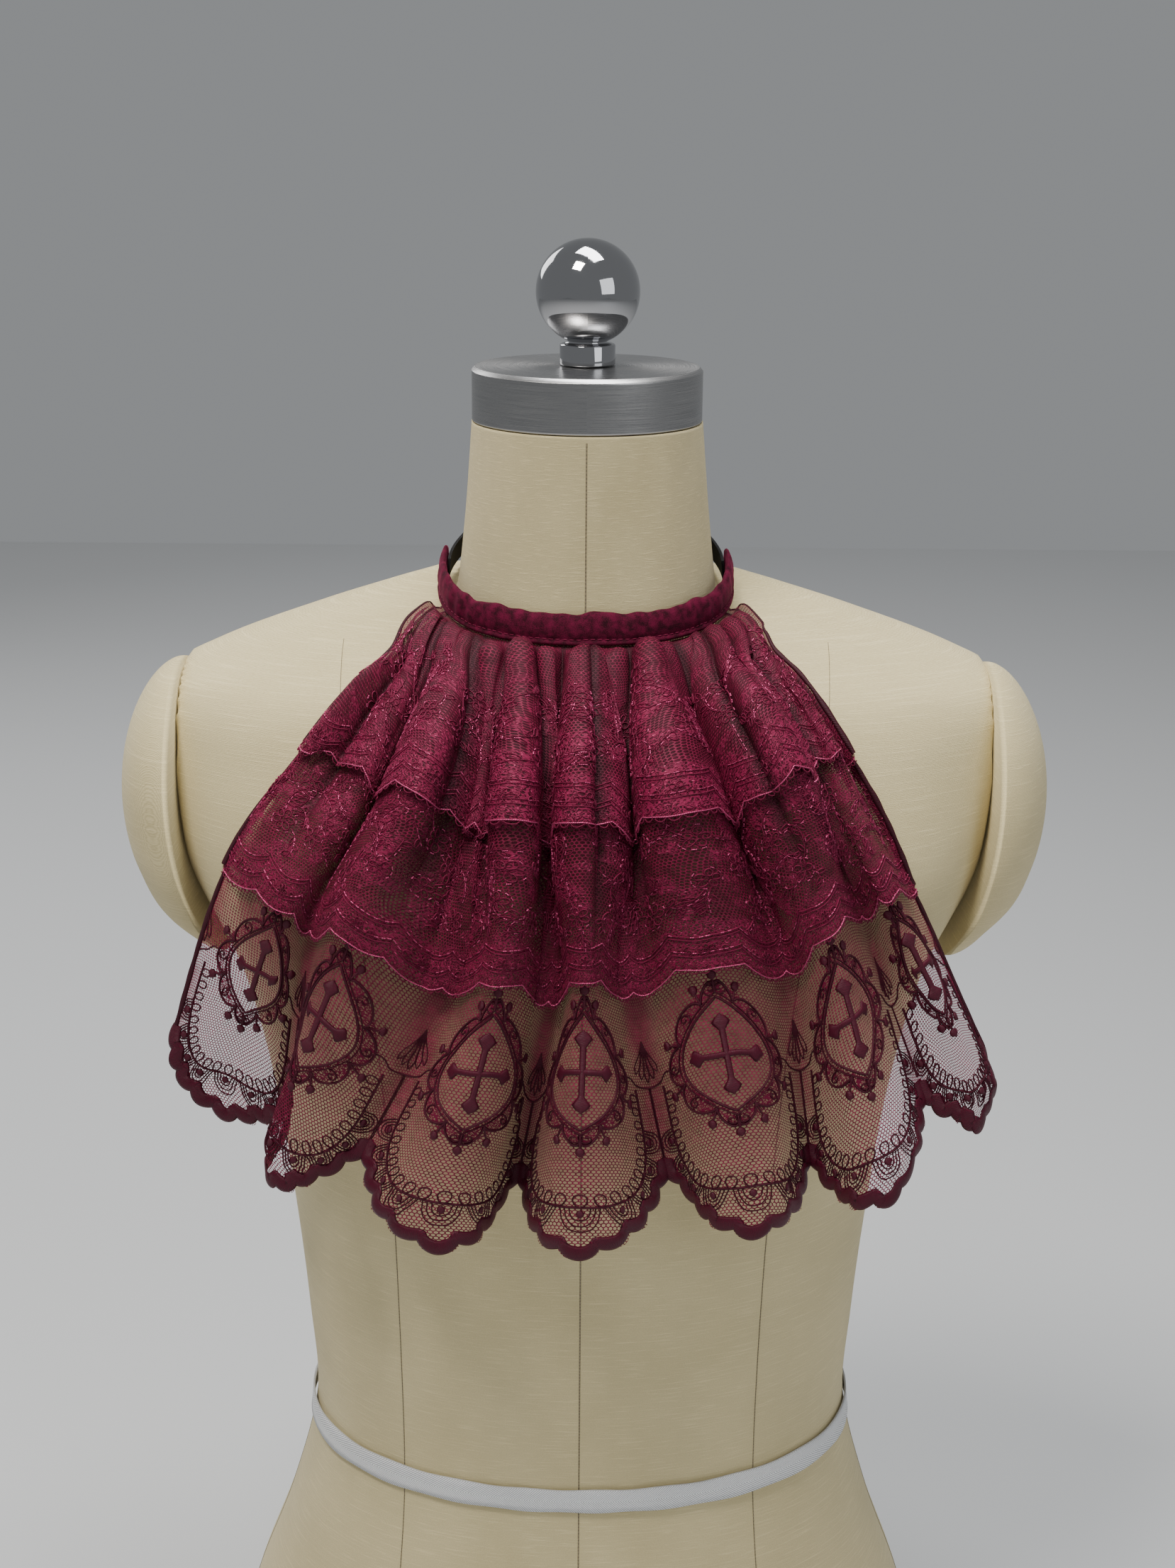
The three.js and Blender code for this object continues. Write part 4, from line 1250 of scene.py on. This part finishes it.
# cord along the edge with its picots
def sewPicots(plain, glint, tier):
    u = np.linspace(0, bib["width"], 1400)
    glint.line(np.stack([u, waveHem(tier, u) - 0.5], -1), 0.32, 0.5, step=0.9)
    picots = int(bib["width"] / lacework["picot"])
    start, end = math.radians(80), math.radians(280)
    for at in (np.arange(picots) + 0.5) * bib["width"] / picots:
        edge = waveHem(tier, np.array([at]))[0] - 0.6
        plain.line(ring(at, edge, 1.7, start, end, 9, 0.95), 0.28, 0.38, step=0.9)
        plain.line(ring(at, edge - 2.3, 1.2, start, end, 7, 0.9), 0.22, 0.34, step=0.9)


# doubled arches above the hem, a shell in each
def sewArches(plain, glint, tier, pick):
    wave = bib["width"] / tier["waves"]
    t = np.linspace(-1, 1, 26)
    for k in range(tier["waves"]):
        middleU = (k + 0.5) * wave
        base = bow(tier["length"], middleU)
        for rise, half in ((7.0, 0.3), (8.6, 0.24), (14.2, 0.3), (15.6, 0.24)):
            arch = np.stack([middleU + t * wave / 2, base - rise + 4.2 * (1 - t * t)], -1)
            plain.line(arch, half, 0.4)
            if half < 0.3:
                glint.dashes(arch, pick, 1.4, 1.0, 0.6)
        flower(plain, middleU, base - 5.4, 3.0, 6, pick.random(), 0.24)
        for side in (1, -1):
            scroll = spiral(middleU + side * 6.6, base - 5.6, 2.6, pick.random() * 6, 1.3, side)
            plain.line(scroll, 0.24, 0.38, step=0.9)


# a bent stem with glint stitches beside it, bright as a painted highlight of metallic thread, and three
# leaves
def sewStem(plain, glint, u, v, pick):
    turn, bend, length = pick.random() * tau, pick.uniform(-2.4, 2.4), pick.uniform(9, 15)
    a = turn + bend * np.linspace(0, 1, 16)
    x = u + 3.5 * math.sin(turn) + np.cumsum(np.sin(a)) * length / 16
    y = v - 3.5 * math.cos(turn) - np.cumsum(np.cos(a)) * length / 16
    plain.line(np.stack([x, y], -1), 0.24, 0.36)
    glint.dashes(np.stack([x + 0.7, y + 0.6], -1), pick, 1.2, 1.0, 0.7)
    t = np.linspace(0, tau, 8, endpoint=False)
    for i in (4, 8, 12):
        lean = a[i] + pick.choice((1, -1)) * 0.9
        leaf = turned(x[i], y[i], lean, lacework["leaf"] * (1 - np.cos(t)), lacework["leafHalf"] * np.sin(t))
        plain.line(leaf, 0.24, 0.38, closed=True, step=1.0)


# a vine of small flowers and stems
def sewVine(plain, glint, tier, level, swing, pick):
    lowest, u = tier["length"] - 18, 6.0
    while u < bib["width"]:
        v = lowest - level + swing * math.sin(u * 0.11 + level) + pick.uniform(-3, 3)
        if v > plain.limit + 4:
            plain.centre = glint.centre = u
            size = pick.uniform(3.6, 5.0)
            flower(plain, u, v, size, pick.choice((5, 6)), pick.random() * 2)
            glint.dashes(ring(u, v, size + 0.5, 0, tau, 24), pick, 1.1, 1.3, 0.55)
            for _ in range(3):
                sewStem(plain, glint, u, v, pick)
            plain.centre = glint.centre = None
        u += pick.uniform(13, 19) / shareAt(tier["layer"], v)


def buildLacework(name, tier, top, seed):
    # the glint work is a lighter metallic thread with its glints painted in as highlight
    plain, glint = Embroidery(tier["layer"], top), Embroidery(tier["layer"], top)
    pick = random.Random(seed)
    sewPicots(plain, glint, tier)
    sewArches(plain, glint, tier, pick)
    for level, swing in ((lacework["lower"], 5), (lacework["upper"], 6)):
        sewVine(plain, glint, tier, level, swing, pick)
    return plain.make(name + "_lace", laceThread, "lace"), glint.make(name + "_glint", glintThread, "lace")


middleLace, middleGlint = buildLacework("middle", middle, 66, 5)
shortLace, shortGlint = buildLacework("short", short, 14, 11)
print("embroidery sewn")

# side hems

sideHem = dict(half=1.15, height=1.1)
rolled = np.array([(-1, 0), (-0.7, 0.7), (0, 1), (0.7, 0.7), (1, 0), (0.7, -0.7), (0, -1), (-0.7, -0.7)])


def buildSideHem(name, tier, slot):
    stitch = Stitching()
    for u in (0.0, float(bib["width"])):
        v = np.arange(1.0, hems[name](np.array([u]))[0] - 0.5, 1.5)
        points, normals = onCloth(tier["layer"], np.full_like(v, u), v)
        roll = 1 + 0.12 * np.sin(v / 2.1) + 0.1 * np.sin(v / 5.3)
        half = sideHem["half"] * roll * mix(0.45, 1, smooth(v / 40))
        stitch.add(points, normals, half, sideHem["height"] * mix(0.3, 0.9, smooth(v / 60)), section=rolled)
    return stitch.make(name + "_side_hems", hemThread, slot)


longHems = buildSideHem("long", long, "tulle")
middleHems = buildSideHem("middle", middle, "lace")
shortHems = buildSideHem("short", short, "lace")


# each tier is a flared cut, narrower where it is gathered on than at its hem
def flatArea(hem, topShare):
    u = np.linspace(0, bib["width"], 2001)
    return float(np.trapz(hem(u), u)) * mm * mm * (1 + topShare) / 2


def sheet(name, topShare):
    flatArea(hems[name], topShare)


sheet("long", 0.56)
sheet("middle", 0.44)
sheet("short", 0.3)

# stage, lights and camera

floorSize = 6.0
bpy.ops.mesh.primitive_plane_add(size=floorSize, location=(0, 0, 0))
floor = bpy.context.object
floor.name = "floor"
floorMaterial, _ = material("floor", 0.7, color=(0.56, 0.57, 0.58, 1), mapped=False)
floor.data.materials.append(floorMaterial)


def areaLight(name, place, aim, size, power, color=(1, 1, 1)):
    light = bpy.data.lights.new(name, "AREA")
    light.shape, light.size, light.size_y = "RECTANGLE", size[0], size[1]
    light.energy, light.color = power, color
    made = bpy.data.objects.new(name, light)
    bpy.context.scene.collection.objects.link(made)
    direction = Matrix.Translation(aim).translation - Matrix.Translation(place).translation
    made.matrix_world = Matrix.Translation(place) @ direction.to_track_quat("-Z", "Y").to_matrix().to_4x4()
    return made


areaLight("key", (-0.6, -0.8, 2.3), (0, 0, 0.42), (0.6, 0.6), 42, (1, 0.96, 0.9))
areaLight("fill", (1.5, -1.5, 1.2), (0, 0, 0.45), (1.2, 1.2), 9, (0.95, 0.97, 1))
areaLight("top", (0.1, 0.1, 2.2), (0, 0, 0.5), (1.2, 0.6), 30)
areaLight("back", (-1.2, 1.6, 1.4), (0, 0, 0.45), (0.9, 0.9), 9)

world = bpy.data.worlds.new("studio")
bpy.context.scene.world = world
world.use_nodes = True
background = world.node_tree.nodes["Background"]
background.inputs["Color"].default_value = (0.62, 0.64, 0.66, 1)
background.inputs["Strength"].default_value = 0.42

view = dict(place=(0.0014, -0.973, 0.775), tilt=73, roll=0.45, lens=52.27, height=36)
cameraData = bpy.data.cameras.new("camera")
cameraData.sensor_fit = "VERTICAL"
cameraData.sensor_height, cameraData.lens = view["height"], view["lens"]
camera = bpy.data.objects.new("camera", cameraData)
bpy.context.scene.collection.objects.link(camera)
tilt = Matrix.Rotation(math.radians(view["tilt"]), 4, "X")
roll = Matrix.Rotation(math.radians(view["roll"]), 4, "Z")
camera.matrix_world = Matrix.Translation(view["place"]) @ tilt @ roll
bpy.context.scene.camera = camera
print("stage set")
